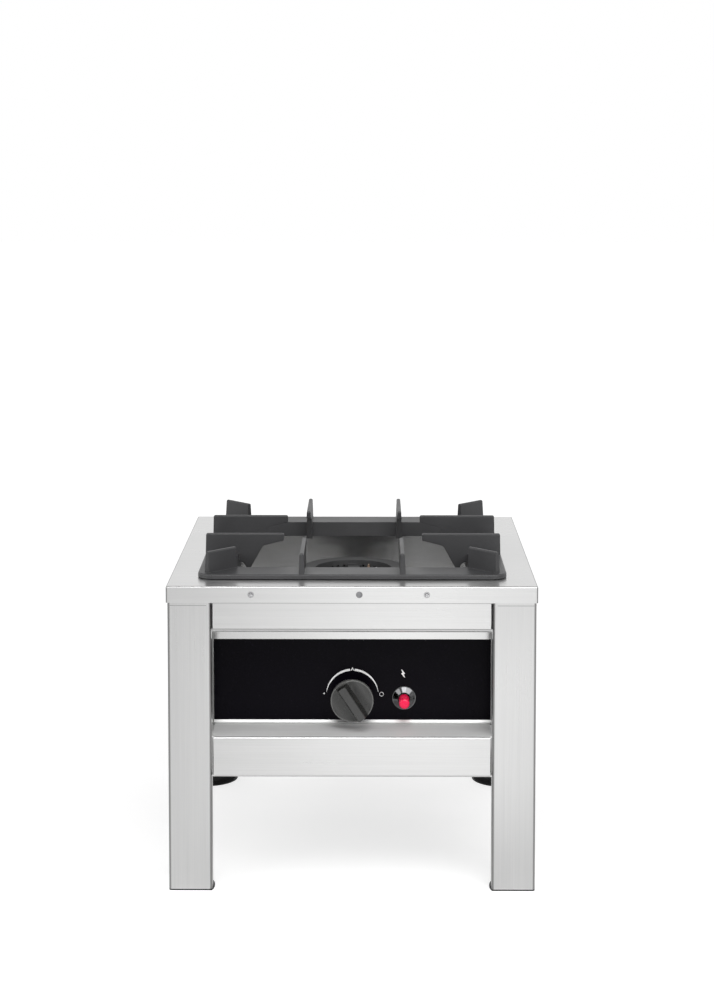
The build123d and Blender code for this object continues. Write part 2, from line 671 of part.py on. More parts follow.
# Cast burner: a hollow ported ring on spokes, the neck, the mixing tube and the arms that hold the injector
with BuildPart() as burner:
    outer_ring = [
        (BURNER_INNER, ring_bottom),
        (BURNER_RADIUS, ring_bottom),
        (BURNER_RADIUS, burner_top),
        (BURNER_INNER + BURNER_FLARE, burner_top),
    ]
    with BuildSketch(Plane.XZ):
        with BuildLine():
            Polyline(*outer_ring, close=True)
        make_face()
        fillet(vertices().sort_by(Axis.X)[-2:], radius=BURNER_WALL * 0.75)
    revolve(axis=Axis.Z)
    # Hub, neck and mixing tube
    with BuildSketch(Plane.XY.offset(mixer_height)):
        Circle(HUB_RADIUS)
    extrude(amount=hub_top - mixer_height)
    hub_rim = [edge for edge in burner.edges().filter_by(GeomType.CIRCLE) if edge.radius == HUB_RADIUS]
    fillet(sorted(hub_rim, key=lambda edge: edge.center().Z)[-1], radius=HUB_EDGE)
    with Locations((0, 0, mixer_height)):
        Sphere(HUB_RADIUS)
    with BuildSketch(facing_front(0, 0, mixer_height)):
        Circle(MIXER_RADIUS)
    extrude(amount=MIXER_MOUTH - MOUTH_LENGTH)
    with BuildSketch(facing_front(0, -(MIXER_MOUTH - MOUTH_LENGTH), mixer_height)):
        Circle(MIXER_RADIUS)
    with BuildSketch(facing_front(0, -(MIXER_MOUTH - MOUTH_LENGTH / 2), mixer_height)):
        Circle(MOUTH_RADIUS)
    loft()
    with BuildSketch(facing_front(0, -(MIXER_MOUTH - MOUTH_LENGTH / 2), mixer_height)):
        Circle(MOUTH_RADIUS)
    extrude(amount=MOUTH_LENGTH / 2)
    # Spokes from the hub to the ring
    spoke_bottom = ring_bottom + (BURNER_RING_HEIGHT - SPOKE_HEIGHT) / 2 - 1
    with BuildSketch(Plane.XY.offset(spoke_bottom)):
        with PolarLocations(0, SPOKE_COUNT, start_angle=90):
            with Locations(((BURNER_INNER + BURNER_WALL) / 2, 0)):
                Rectangle(BURNER_INNER + BURNER_WALL, SPOKE_WIDTH)
    extrude(amount=SPOKE_HEIGHT)
    # Ears on the neck
    with BuildSketch(Plane.XY.offset(bar_top)):
        SlotCenterToCenter(2 * EAR_PLACE, 2 * EAR_RADIUS, rotation=90)
    extrude(amount=EAR_THICKNESS)
    # Arms and boss in front of the mouth
    with BuildSketch(Plane.XY.offset(mixer_height - ARM_THICKNESS / 2)):
        for sx in (-1, 1):
            with BuildLine():
                Polyline(
                    (sx * MOUTH_RADIUS, -(MIXER_MOUTH - ARM_ROOT)),
                    (sx * (MOUTH_RADIUS - ARM_THICKNESS), -(MIXER_MOUTH - ARM_ROOT)),
                    (sx * (BOSS_RADIUS - ARM_STEP), boss_front + BOSS_LENGTH),
                    (sx * (BOSS_RADIUS - ARM_STEP), boss_front),
                    (sx * BOSS_RADIUS, boss_front),
                    close=True,
                )
            make_face()
    extrude(amount=ARM_THICKNESS)
    with BuildSketch(facing_front(0, boss_front, mixer_height)):
        Circle(BOSS_RADIUS)
    extrude(amount=-BOSS_LENGTH)
    # The passage from the mouth through the neck to the ring channel
    with BuildSketch(facing_front(0, 0, mixer_height)):
        Circle(MIXER_RADIUS - MIXER_WALL)
    extrude(amount=MIXER_MOUTH - MOUTH_LENGTH / 2, mode=Mode.SUBTRACT)
    with BuildSketch(facing_front(0, -(MIXER_MOUTH - MOUTH_LENGTH / 2), mixer_height)):
        Circle(MIXER_RADIUS - MIXER_WALL)
    with BuildSketch(facing_front(0, -MIXER_MOUTH, mixer_height)):
        Circle(MOUTH_RADIUS - MIXER_WALL)
    loft(mode=Mode.SUBTRACT)
    with BuildSketch(Plane.XY.offset(mixer_height)):
        Circle(HUB_RADIUS - BURNER_WALL)
    extrude(amount=hub_top - BURNER_WALL - mixer_height, mode=Mode.SUBTRACT)
    with BuildSketch(Plane.XY.offset(spoke_bottom + BURNER_WALL)):
        with PolarLocations(0, SPOKE_COUNT, start_angle=90):
            with Locations(((BURNER_INNER + BURNER_WALL * 2) / 2, 0)):
                Rectangle(BURNER_INNER + BURNER_WALL * 2, SPOKE_WIDTH - 2 * BURNER_WALL)
    extrude(amount=SPOKE_HEIGHT - 2 * BURNER_WALL, mode=Mode.SUBTRACT)
    channel_inner = BURNER_INNER + BURNER_FLARE + BURNER_WALL
    with BuildSketch(Plane.XY.offset(ring_bottom + BURNER_WALL)):
        Circle(BURNER_RADIUS - BURNER_WALL)
        Circle(channel_inner, mode=Mode.SUBTRACT)
    extrude(amount=BURNER_RING_HEIGHT - 2 * BURNER_WALL, mode=Mode.SUBTRACT)
    # Flame ports through the inner wall, left out where the spokes join
    port_height = burner_top - FLAME_PORT_DROP
    port_step = 360 / PORT_COUNT
    port_start = BURNER_INNER - 2
    clear_of_spoke = degrees(SPOKE_WIDTH / 2 / BURNER_INNER) + port_step / 2
    for port in range(PORT_COUNT):
        angle = port_step * (port + 0.5)
        from_spoke = min((angle - 90) % (360 / SPOKE_COUNT), (90 - angle) % (360 / SPOKE_COUNT))
        if from_spoke > clear_of_spoke:
            direction = Vector(cos(radians(angle)), sin(radians(angle)), 0)
            port_origin = direction * port_start + Vector(0, 0, port_height)
            with BuildSketch(Plane(origin=port_origin, z_dir=direction)):
                Circle(FLAME_PORT_RADIUS)
    extrude(amount=channel_inner + 1 - port_start, mode=Mode.SUBTRACT)
    # Bores for the injector holder and the screws
    with BuildSketch(facing_front(0, boss_front, mixer_height)):
        Circle(BOSS_BORE)
    extrude(amount=-BOSS_LENGTH, mode=Mode.SUBTRACT)
    with BuildSketch(Plane.XY.offset(bar_top)):
        with Locations((0, EAR_PLACE), (0, -EAR_PLACE)):
            Circle(burner_screw_hole)
    extrude(amount=EAR_THICKNESS, mode=Mode.SUBTRACT)
save(burner, "burner")

screw_length = EAR_THICKNESS + BAR_SHEET + BURNER_SCREW_TAIL
with BuildPart() as burner_screws:
    for sy in (-1, 1):
        seat = Plane(origin=(0, sy * EAR_PLACE, bar_top + EAR_THICKNESS))
        add(headed_screw(seat, BURNER_SCREW_RADIUS, screw_length, BURNER_HEAD_RADIUS, BURNER_HEAD).part)
save(burner_screws, "burner_screws")

# Air shutter: a sleeve round the mouth, with two windows, locked by a screw on the rim
sleeve_bore = MOUTH_RADIUS + SHUTTER_FIT
sleeve_length = MOUTH_LENGTH / 2 + SHUTTER_REACH
with BuildPart() as air_shutter:
    with BuildSketch(facing_front(0, -(MIXER_MOUTH - MOUTH_LENGTH / 2), mixer_height)):
        Circle(sleeve_bore + SHUTTER_WALL)
        Circle(sleeve_bore, mode=Mode.SUBTRACT)
    extrude(amount=sleeve_length)
    with BuildSketch(Plane.XY.offset(mixer_height - SHUTTER_WINDOW / 2)):
        with Locations((0, -(MIXER_MOUTH + SHUTTER_REACH / 2))):
            Rectangle(4 * MOUTH_RADIUS, SHUTTER_WINDOW)
    extrude(amount=SHUTTER_WINDOW, mode=Mode.SUBTRACT)
    with BuildSketch(Plane.XY.offset(mixer_height)):
        with Locations((0, -(MIXER_MOUTH - MOUTH_LENGTH / 4))):
            Circle(small_screw_hole)
    extrude(amount=2 * MOUTH_RADIUS, mode=Mode.SUBTRACT)
save(air_shutter, "air_shutter")

sleeve_top = mixer_height + sleeve_bore + SHUTTER_WALL
shutter_seat = Plane(origin=(0, -(MIXER_MOUTH - MOUTH_LENGTH / 4), sleeve_top))
shutter_screw = headed_screw(shutter_seat, SMALL_SCREW_RADIUS, SHUTTER_WALL, SMALL_HEAD_RADIUS, SMALL_HEAD)
save(shutter_screw, "shutter_screw")

# Injector holder through the burner's boss, with the injector on its end
holder_shank = BOSS_BORE - HOLDER_FIT
holder_back = boss_front + BOSS_LENGTH + INJECTOR_STANDOFF
with BuildPart() as injector_holder:
    with BuildSketch(facing_front(0, boss_front, mixer_height)):
        RegularPolygon(HOLDER_HEX / 2, 6, major_radius=False)
    extrude(amount=HOLDER_HEX_LENGTH)
    with BuildSketch(facing_front(0, boss_front, mixer_height)):
        Circle(holder_shank)
    extrude(amount=-(BOSS_LENGTH + INJECTOR_STANDOFF))
    with BuildSketch(facing_front(0, holder_front, mixer_height)):
        Circle(holder_shank - HOLDER_WALL)
    extrude(amount=-(HOLDER_HEX_LENGTH + BOSS_LENGTH + INJECTOR_STANDOFF), mode=Mode.SUBTRACT)
save(injector_holder, "injector_holder")

with BuildPart() as injector:
    with BuildSketch(facing_back(0, holder_back, mixer_height)):
        RegularPolygon(INJECTOR_HEX / 2, 6, major_radius=False)
    extrude(amount=INJECTOR_LENGTH)
    chamfer(injector.faces().sort_by(Axis.Y)[-1].edges(), length=INJECTOR_HEX / 5)
    with BuildSketch(facing_back(0, holder_back, mixer_height)):
        Circle(INJECTOR_HOLE)
    extrude(amount=INJECTOR_LENGTH, mode=Mode.SUBTRACT)
save(injector, "injector")

# Gas valve on its bracket behind the control panel
screw_places = [(-VALVE_SCREW_SPACING / 2, 0), (VALVE_SCREW_SPACING / 2, 0)]
with BuildPart() as valve_bracket:
    with BuildSketch(Plane.XY.offset(knob_height)):
        with BuildLine():
            foot_y = panel_back + SHEET / 2
            web_y = bracket_back - SHEET / 2
            FilletPolyline(
                (-BRACKET_HALF_WIDTH - BRACKET_FOOT, foot_y),
                (-BRACKET_HALF_WIDTH, foot_y),
                (-BRACKET_HALF_WIDTH, web_y),
                (BRACKET_HALF_WIDTH, web_y),
                (BRACKET_HALF_WIDTH, foot_y),
                (BRACKET_HALF_WIDTH + BRACKET_FOOT, foot_y),
                radius=fold_radius,
            )
        trace(line_width=SHEET)
    extrude(amount=BRACKET_HEIGHT / 2, both=True)
    with BuildSketch(facing_back(0, bracket_back, knob_height)):
        Circle(PANEL_HOLE_RADIUS)
        with Locations(*screw_places):
            Circle(small_screw_hole)
    extrude(amount=-2 * SHEET, mode=Mode.SUBTRACT)
save(valve_bracket, "valve_bracket")

with BuildPart() as valve_bonnet:
    with BuildSketch(facing_back(0, bracket_back, knob_height)):
        RectangleRounded(BONNET_SIZE, BONNET_SIZE, BONNET_CORNER)
        Circle(SPINDLE_RADIUS + SHAFT_FIT, mode=Mode.SUBTRACT)
        with Locations(*screw_places):
            Circle(small_screw_hole, mode=Mode.SUBTRACT)
    extrude(amount=BONNET_THICKNESS)
save(valve_bonnet, "valve_bonnet")

screw_length = SHEET + BONNET_THICKNESS * 0.9
with BuildPart() as valve_screws:
    for x, z in screw_places:
        seat = facing_front(x, bracket_back - SHEET, knob_height + z)
        add(headed_screw(seat, SMALL_SCREW_RADIUS, screw_length, SMALL_HEAD_RADIUS, SMALL_HEAD).part)
save(valve_screws, "valve_screws")

pipe_bore = PIPE_RADIUS + HOLE_CLEARANCE
outlet_bore = OUTLET_RADIUS + HOLE_CLEARANCE
with BuildPart() as valve_body:
    with BuildSketch(facing_back(0, bonnet_back, knob_height)):
        Circle(VALVE_RADIUS)
        Rectangle(2 * VALVE_RADIUS, VALVE_RADIUS)
    extrude(amount=VALVE_LENGTH)
    # Inlet to the left, burner outlet upwards, pilot outlet to the right
    with BuildSketch(facing_side(0, port_y, knob_height, -1)):
        Circle(PORT_RADIUS)
    extrude(amount=PORT_REACH)
    with BuildSketch(Plane(origin=(0, port_y, knob_height))):
        Circle(PORT_RADIUS)
    extrude(amount=PORT_REACH)
    with BuildSketch(facing_side(0, pilot_port_y, knob_height, 1)):
        Circle(PILOT_PORT_RADIUS)
    extrude(amount=PORT_REACH)
    fillet(valve_body.faces().sort_by(Axis.Y)[-1].outer_wire().edges(), radius=VALVE_EDGE)
    with BuildSketch(facing_side(-PORT_REACH, port_y, knob_height, -1)):
        Circle(pipe_bore)
    extrude(amount=-PIPE_SEAT, mode=Mode.SUBTRACT)
    with BuildSketch(Plane(origin=(0, port_y, knob_height + PORT_REACH))):
        Circle(outlet_bore)
    extrude(amount=-PIPE_SEAT, mode=Mode.SUBTRACT)
    with BuildSketch(facing_side(PORT_REACH, pilot_port_y, knob_height, 1)):
        Circle(PILOT_TUBE_RADIUS + HOLE_CLEARANCE)
    extrude(amount=-PIPE_SEAT, mode=Mode.SUBTRACT)
    # Bores for the spindle and the push pin
    with BuildSketch(facing_back(0, bonnet_back, knob_height)):
        Circle(SPINDLE_RADIUS + HOLE_CLEARANCE)
    extrude(amount=spindle_back + KNOB_PUSH + SPINDLE_INSET - bonnet_back, mode=Mode.SUBTRACT)
    with BuildSketch(facing_back(0, bonnet_back, knob_height)):
        Circle(PIN_RADIUS + HOLE_CLEARANCE)
    extrude(amount=VALVE_LENGTH, mode=Mode.SUBTRACT)
save(valve_body, "valve_body")

magnet_unit = turned(facing_back(0, valve_back, knob_height), [
    (0, 0),
    (MAGNET_RADIUS, 0),
    (MAGNET_RADIUS, MAGNET_LENGTH - MAGNET_NECK - MAGNET_SLOPE),
    (MAGNET_RADIUS - MAGNET_STEP, MAGNET_LENGTH - MAGNET_NECK),
    (MAGNET_RADIUS - MAGNET_STEP, MAGNET_LENGTH),
    (LEAD_RADIUS + HOLE_CLEARANCE, MAGNET_LENGTH),
    (LEAD_RADIUS + HOLE_CLEARANCE, MAGNET_LENGTH - PIPE_SEAT),
    (0, MAGNET_LENGTH - PIPE_SEAT),
])
save(magnet_unit, "magnet_unit")

with BuildPart() as push_pin:
    with BuildSketch(facing_back(0, spindle_back, knob_height)):
        Circle(PIN_RADIUS)
    extrude(amount=PIN_LENGTH)
    fillet(push_pin.edges().sort_by(Axis.Y)[-1], radius=PIN_RADIUS / 3)
save(push_pin, "push_pin")

# The knob's plane faces the user and leans with its ridge, to the left of upright.
knob_plane = Plane(
    origin=(0, knob_back, knob_height),
    x_dir=(cos(radians(KNOB_LEAN)), 0, sin(radians(KNOB_LEAN))),
    z_dir=(0, -1, 0),
)
with BuildPart() as valve_spindle:
    with BuildSketch(facing_front(0, spindle_back, knob_height)):
        Circle(SPINDLE_RADIUS)
    extrude(amount=spindle_back - spindle_front)
    with BuildSketch(knob_plane):
        with Locations((0, SPINDLE_FLAT + SPINDLE_RADIUS)):
            Rectangle(4 * SPINDLE_RADIUS, 2 * SPINDLE_RADIUS)
    extrude(amount=KNOB_BORE_DEPTH, mode=Mode.SUBTRACT)
save(valve_spindle, "valve_spindle")

# Knob: a shallow drafted cup with two dished cheeks that leave the grip ridge
with BuildPart() as knob:
    with BuildSketch(knob_plane):
        Circle(KNOB_RADIUS)
    extrude(amount=KNOB_DEPTH, taper=KNOB_DRAFT)
    fillet(knob.edges().sort_by(Axis.Y)[-1], radius=KNOB_BACK_EDGE)
    # Each cheek is cut a little askew, so that the ridge narrows towards its pointer. Its crest is chamfered.
    for side in (-1, 1):
        askew = knob_plane.rotated((0, 0, side * KNOB_RIDGE_TAPER))
        with BuildSketch(Plane(origin=askew.origin, x_dir=askew.x_dir, z_dir=-askew.y_dir)):
            with BuildLine():
                root = (side * KNOB_RIDGE_ROOT / 2, KNOB_SKIRT)
                rim = (side * (KNOB_RADIUS + 2), KNOB_SKIRT)
                crest = side * (KNOB_RIDGE_FRONT / 2 - KNOB_RIDGE_EDGE)
                Polyline(
                    rim,
                    (rim[0], KNOB_DEPTH + 1),
                    (crest, KNOB_DEPTH + 1),
                    (crest, KNOB_DEPTH),
                    (side * KNOB_RIDGE_FRONT / 2, KNOB_DEPTH - KNOB_RIDGE_EDGE),
                    root,
                )
                ThreePointArc(root, ((root[0] + rim[0]) / 2, KNOB_SKIRT - KNOB_SCOOP), rim)
            make_face()
        extrude(amount=2 * KNOB_RADIUS, both=True, mode=Mode.SUBTRACT)
    # Hollow back, boss and D-shaped bore
    with BuildSketch(knob_plane):
        Circle(KNOB_RADIUS - KNOB_BACK_EDGE - KNOB_WALL)
        Circle(KNOB_BOSS, mode=Mode.SUBTRACT)
    extrude(amount=KNOB_HOLLOW, mode=Mode.SUBTRACT)
    with BuildSketch(knob_plane):
        Circle(SPINDLE_RADIUS + SHAFT_FIT)
        with Locations((0, SPINDLE_FLAT + SHAFT_FIT + SPINDLE_RADIUS)):
            Rectangle(4 * SPINDLE_RADIUS, 2 * SPINDLE_RADIUS, mode=Mode.SUBTRACT)
    extrude(amount=KNOB_BORE_DEPTH, mode=Mode.SUBTRACT)
save(knob, "knob")

# Piezo igniter: barrel, flared bezel, nut and button
igniter_front = film_front
barrel_bore = BUTTON_RADIUS + BUTTON_FIT
igniter_body = turned(facing_back(IGNITER_PLACE, igniter_front, igniter_height), [
    (barrel_bore, 0),
    (IGNITER_RADIUS, 0),
    (IGNITER_RADIUS, IGNITER_LENGTH),
    (IGNITER_TAIL_RADIUS, IGNITER_LENGTH),
    (IGNITER_TAIL_RADIUS, IGNITER_LENGTH + IGNITER_TAIL),
    (IGNITION_LEAD_RADIUS + HOLE_CLEARANCE, IGNITER_LENGTH + IGNITER_TAIL),
    (IGNITION_LEAD_RADIUS + HOLE_CLEARANCE, IGNITER_LENGTH + IGNITER_TAIL - PIPE_SEAT),
    (0, IGNITER_LENGTH + IGNITER_TAIL - PIPE_SEAT),
    (0, BUTTON_TAIL + BUTTON_PUSH + 1),
    (barrel_bore, BUTTON_TAIL + BUTTON_PUSH + 1),
])
save(igniter_body, "igniter_body")

igniter_bezel = turned(facing_front(IGNITER_PLACE, igniter_front, igniter_height), [
    (barrel_bore, 0),
    (BEZEL_RADIUS, 0),
    (BEZEL_RADIUS, BEZEL_FLANGE - BEZEL_RIM_CHAMFER),
    (BEZEL_RADIUS - BEZEL_RIM_CHAMFER, BEZEL_FLANGE),
    (BEZEL_RADIUS - BEZEL_RIM, BEZEL_FLANGE),
    (BEZEL_RADIUS - BEZEL_RIM - BEZEL_RIM_CHAMFER, BEZEL_FLANGE - BEZEL_RIM_CHAMFER),
    (BEZEL_FLARE, BEZEL_FLARE_DEPTH),
    (BEZEL_NECK, BEZEL_DEPTH),
    (barrel_bore, BEZEL_DEPTH),
])
save(igniter_bezel, "igniter_bezel")

igniter_nut = hexagon_nut(
    facing_back(IGNITER_PLACE, panel_back, igniter_height),
    IGNITER_NUT,
    NUT_THICKNESS,
    igniter_hole,
)
save(igniter_nut, "igniter_nut")

igniter_button = turned(facing_front(IGNITER_PLACE, igniter_front, igniter_height), [
    (0, -BUTTON_TAIL),
    (BUTTON_RADIUS, -BUTTON_TAIL),
    (BUTTON_RADIUS, BUTTON_PROUD - BUTTON_CROWN),
    (BUTTON_RADIUS - BUTTON_EDGE * 0.17, BUTTON_PROUD - BUTTON_CROWN * 0.46),
    (BUTTON_RADIUS - BUTTON_EDGE * 0.53, BUTTON_PROUD - BUTTON_CROWN * 0.13),
    (BUTTON_RADIUS - BUTTON_EDGE, BUTTON_PROUD),
    (0, BUTTON_PROUD),
])
save(igniter_button, "igniter_button")

# Gas inlet at the back, and the pipe along the left side to the valve
pipe_end_x = -(PORT_REACH - PIPE_SEAT + 1)
inlet_hex_back = casing_inner
inlet_hex_front = casing_inner - INLET_HEX_LENGTH
with BuildPart() as inlet_nipple:
    with BuildSketch(facing_back(INLET_PLACE, inlet_hex_front, knob_height)):
        RegularPolygon(INLET_HEX / 2, 6, major_radius=False)
    extrude(amount=INLET_HEX_LENGTH)
    with BuildSketch(facing_back(INLET_PLACE, inlet_hex_back, knob_height)):
        Circle(INLET_RADIUS)
    extrude(amount=INLET_THREAD)
    chamfer(inlet_nipple.edges().sort_by(Axis.Y)[-1], length=1)
    # A relief groove just behind the locknut
    with BuildSketch(facing_back(INLET_PLACE, casing + LOCKNUT_LENGTH, knob_height)):
        Circle(INLET_RADIUS + 1)
        Circle(INLET_RADIUS - THREAD_RELIEF_DEPTH, mode=Mode.SUBTRACT)
    extrude(amount=THREAD_RELIEF, mode=Mode.SUBTRACT)
    with BuildSketch(facing_back(INLET_PLACE, inlet_hex_back + INLET_THREAD, knob_height)):
        Circle(INLET_BORE)
    extrude(amount=-(INLET_THREAD + INLET_HEX_LENGTH - PIPE_SEAT), mode=Mode.SUBTRACT)
    with BuildSketch(facing_back(INLET_PLACE, inlet_hex_front, knob_height)):
        Circle(pipe_bore)
    extrude(amount=PIPE_SEAT, mode=Mode.SUBTRACT)
save(inlet_nipple, "inlet_nipple")

inlet_locknut = hexagon_nut(
    facing_back(INLET_PLACE, casing, knob_height), LOCKNUT, LOCKNUT_LENGTH, INLET_RADIUS + HOLE_CLEARANCE
)
save(inlet_locknut, "inlet_locknut")

gas_pipe = bent_tube(
    [
        (pipe_end_x, port_y, knob_height),
        (INLET_PLACE, port_y, knob_height),
        (INLET_PLACE, inlet_hex_front + PIPE_SEAT - 1, knob_height),
    ],
    PIPE_BEND,
    PIPE_RADIUS,
    PIPE_BORE,
)
save(gas_pipe, "gas_pipe")

outlet_bend = holder_front - port_y - OUTLET_STRAIGHT
outlet_pipe = bent_tube(
    [
        (0, port_y, knob_height + PORT_REACH - PIPE_SEAT + 1),
        (0, port_y, mixer_height),
        (0, holder_front, mixer_height),
    ],
    outlet_bend,
    OUTLET_RADIUS,
    OUTLET_RADIUS - 1,
)
save(outlet_pipe, "outlet_pipe")

with BuildPart() as pipe_nuts:
    for seat in (
        facing_side(-PORT_REACH, port_y, knob_height, -1),
        facing_front(INLET_PLACE, inlet_hex_front, knob_height),
    ):
        add(hexagon_nut(seat, PIPE_NUT, PIPE_NUT_LENGTH, pipe_bore).part)
save(pipe_nuts, "pipe_nuts")

# Pilot set on a plate beside the hub: pilot burner, thermocouple and spark electrode
def ring_point(angle):
    return (PILOT_RING * cos(radians(angle)), PILOT_RING * sin(radians(angle)))


pilot_x, pilot_y = ring_point(PILOT_ANGLE)
couple_x, couple_y = ring_point(THERMOCOUPLE_ANGLE)
spark_x, spark_y = ring_point(ELECTRODE_ANGLE)
plate_middle = (PILOT_PLATE_FROM + PILOT_PLATE_TO) / 2
plate_back = EAR_PLACE - BAR_WIDTH / 2 + SHEET
with BuildPart() as pilot_plate:
    with BuildSketch(Plane.YZ.offset(PILOT_PLATE_FROM)):
        with BuildLine():
            FilletPolyline(
                (PILOT_PLATE_FRONT, pilot_plate_top - SHEET / 2),
                (plate_back, pilot_plate_top - SHEET / 2),
                (plate_back, bar_top + SHEET / 2),
                (EAR_PLACE + BAR_WIDTH / 2 - 1, bar_top + SHEET / 2),
                radius=fold_radius,
            )
        trace(line_width=SHEET)
    extrude(amount=PILOT_PLATE_TO - PILOT_PLATE_FROM)
    with BuildSketch(Plane.XY.offset(pilot_plate_top)):
        with Locations((pilot_x, pilot_y)):
            Circle(PILOT_TUBE_RADIUS + HOLE_CLEARANCE)
        with Locations((couple_x, couple_y)):
            Circle(THERMOCOUPLE_RADIUS + HOLE_CLEARANCE)
        with Locations((spark_x, spark_y)):
            Circle(CERAMIC_RADIUS + HOLE_CLEARANCE)
        with Locations((plate_middle, EAR_PLACE)):
            Circle(small_screw_hole)
    extrude(amount=-(pilot_plate_top - bar_top), mode=Mode.SUBTRACT)
save(pilot_plate, "pilot_plate")

pilot_seat = Plane(origin=(plate_middle, EAR_PLACE, bar_top + SHEET))
screw_length = SHEET + BAR_SHEET + PILOT_SCREW_TAIL
pilot_screw = headed_screw(pilot_seat, SMALL_SCREW_RADIUS, screw_length, SMALL_HEAD_RADIUS, SMALL_HEAD)
save(pilot_screw, "pilot_screw")

with BuildPart() as pilot_burner:
    with BuildSketch(Plane(origin=(pilot_x, pilot_y, pilot_plate_top))):
        Circle(PILOT_RADIUS)
    extrude(amount=PILOT_RISE)
    # A hooded mouth that throws the flame across to the thermocouple and the ring
    with BuildSketch(Plane(origin=(pilot_x, pilot_y, pilot_plate_top + PILOT_RISE))):
        Circle(PILOT_RADIUS - 1)
    extrude(amount=-PILOT_RISE / 2, mode=Mode.SUBTRACT)
    with BuildSketch(Plane(origin=(pilot_x, pilot_y, pilot_plate_top + PILOT_RISE * 0.65))):
        with Locations((-PILOT_RADIUS, 0)):
            Rectangle(2 * PILOT_RADIUS, PILOT_RADIUS)
    extrude(amount=PILOT_RISE, mode=Mode.SUBTRACT)
save(pilot_burner, "pilot_burner")

# Route of the pilot's tube, chosen by hand between its two ends
pilot_tube = bent_tube(
    [
        (pilot_x, pilot_y, pilot_plate_top),
        (pilot_x, pilot_y, pilot_plate_top - PILOT_TUBE_FALL),
        (pilot_x + PILOT_TUBE_SWAY, MIXER_ROUTE, knob_height),
        (PILOT_TUBE_TURN, pilot_port_y, knob_height),
        (PORT_REACH - PIPE_SEAT + 1, pilot_port_y, knob_height),
    ],
    PILOT_TUBE_BEND,
    PILOT_TUBE_RADIUS,
)
save(pilot_tube, "pilot_tube")

# Thermocouple: the tip and its lead are one piece. The lead's route is chosen by hand between its ends.
thermocouple_tip = turned(Plane(origin=(couple_x, couple_y, pilot_plate_top)), [
    (0, -THERMOCOUPLE_TAIL),
    (THERMOCOUPLE_RADIUS, -THERMOCOUPLE_TAIL),
    (THERMOCOUPLE_RADIUS, THERMOCOUPLE_RISE * 0.8),
    (THERMOCOUPLE_RADIUS * 0.6, THERMOCOUPLE_RISE),
    (0, THERMOCOUPLE_RISE),
])
thermocouple_lead = bent_tube(
    [
        (couple_x, couple_y, pilot_plate_top - THERMOCOUPLE_TAIL),
        (couple_x, couple_y, pilot_plate_top - THERMOCOUPLE_FALL),
        (couple_x - THERMOCOUPLE_SWAY, THERMOCOUPLE_ROUTE, knob_height),
        (0, THERMOCOUPLE_ROUTE - LEAD_RUN, knob_height),
        (0, valve_back + MAGNET_LENGTH - PIPE_SEAT + 1, knob_height),
    ],
    PILOT_TUBE_BEND,
    LEAD_RADIUS,
)
with BuildPart() as thermocouple:
    add(thermocouple_tip.part)
    add(thermocouple_lead.part)
save(thermocouple, "thermocouple")

with BuildPart() as electrode_ceramic:
    with BuildSketch(Plane(origin=(spark_x, spark_y, pilot_plate_top - CERAMIC_TAIL))):
        Circle(CERAMIC_RADIUS)
        Circle(ELECTRODE_RADIUS + ELECTRODE_FIT, mode=Mode.SUBTRACT)
    extrude(amount=CERAMIC_TAIL + CERAMIC_RISE)
    with BuildSketch(Plane(origin=(spark_x, spark_y, pilot_plate_top))):
        Circle(CERAMIC_RADIUS + CERAMIC_COLLAR)
        Circle(CERAMIC_RADIUS - CERAMIC_COLLAR / 2, mode=Mode.SUBTRACT)
    extrude(amount=CERAMIC_COLLAR_HEIGHT)
save(electrode_ceramic, "electrode_ceramic")

spark_top = pilot_plate_top + CERAMIC_RISE + ELECTRODE_RISE
electrode_wire = bent_tube(
    [
        (spark_x, spark_y, pilot_plate_top - CERAMIC_TAIL + 1),
        (spark_x, spark_y, spark_top),
        (pilot_x, pilot_y - PILOT_RADIUS, spark_top - ELECTRODE_DIP),
    ],
    ELECTRODE_BEND,
    ELECTRODE_RADIUS,
)
save(electrode_wire, "electrode_wire")

# Route of the ignition lead, chosen by hand between its two ends
ignition_lead = bent_tube(
    [
        (spark_x, spark_y, pilot_plate_top - CERAMIC_TAIL),
        (spark_x, spark_y, pilot_plate_top - LEAD_FALL),
        (IGNITER_PLACE - LEAD_SWAY, LEAD_ROUTE, igniter_height),
        (IGNITER_PLACE, LEAD_ROUTE - LEAD_RUN, igniter_height),
        (IGNITER_PLACE, igniter_front + IGNITER_LENGTH + IGNITER_TAIL - PIPE_SEAT + 1, igniter_height),
    ],
    LEAD_BEND,
    IGNITION_LEAD_RADIUS,
)
save(ignition_lead, "ignition_lead")

# The fins' cross-section, drafted towards the crest, run out along +X
fin_bottom = fin_top - FIN_DEPTH
with BuildPart() as fin_blank:
    with BuildSketch(Plane.YZ):
        with BuildLine():
            Polyline(
                (-FIN_BASE / 2, fin_bottom),
                (FIN_BASE / 2, fin_bottom),
                (FIN_TOP / 2, fin_top - FIN_CREST),
                (FIN_TOP / 2 - FIN_CREST, fin_top),
                (FIN_CREST - FIN_TOP / 2, fin_top),
                (-FIN_TOP / 2, fin_top - FIN_CREST),
                close=True,
            )
        make_face()
    extrude(amount=SUPPORT_SIZE)

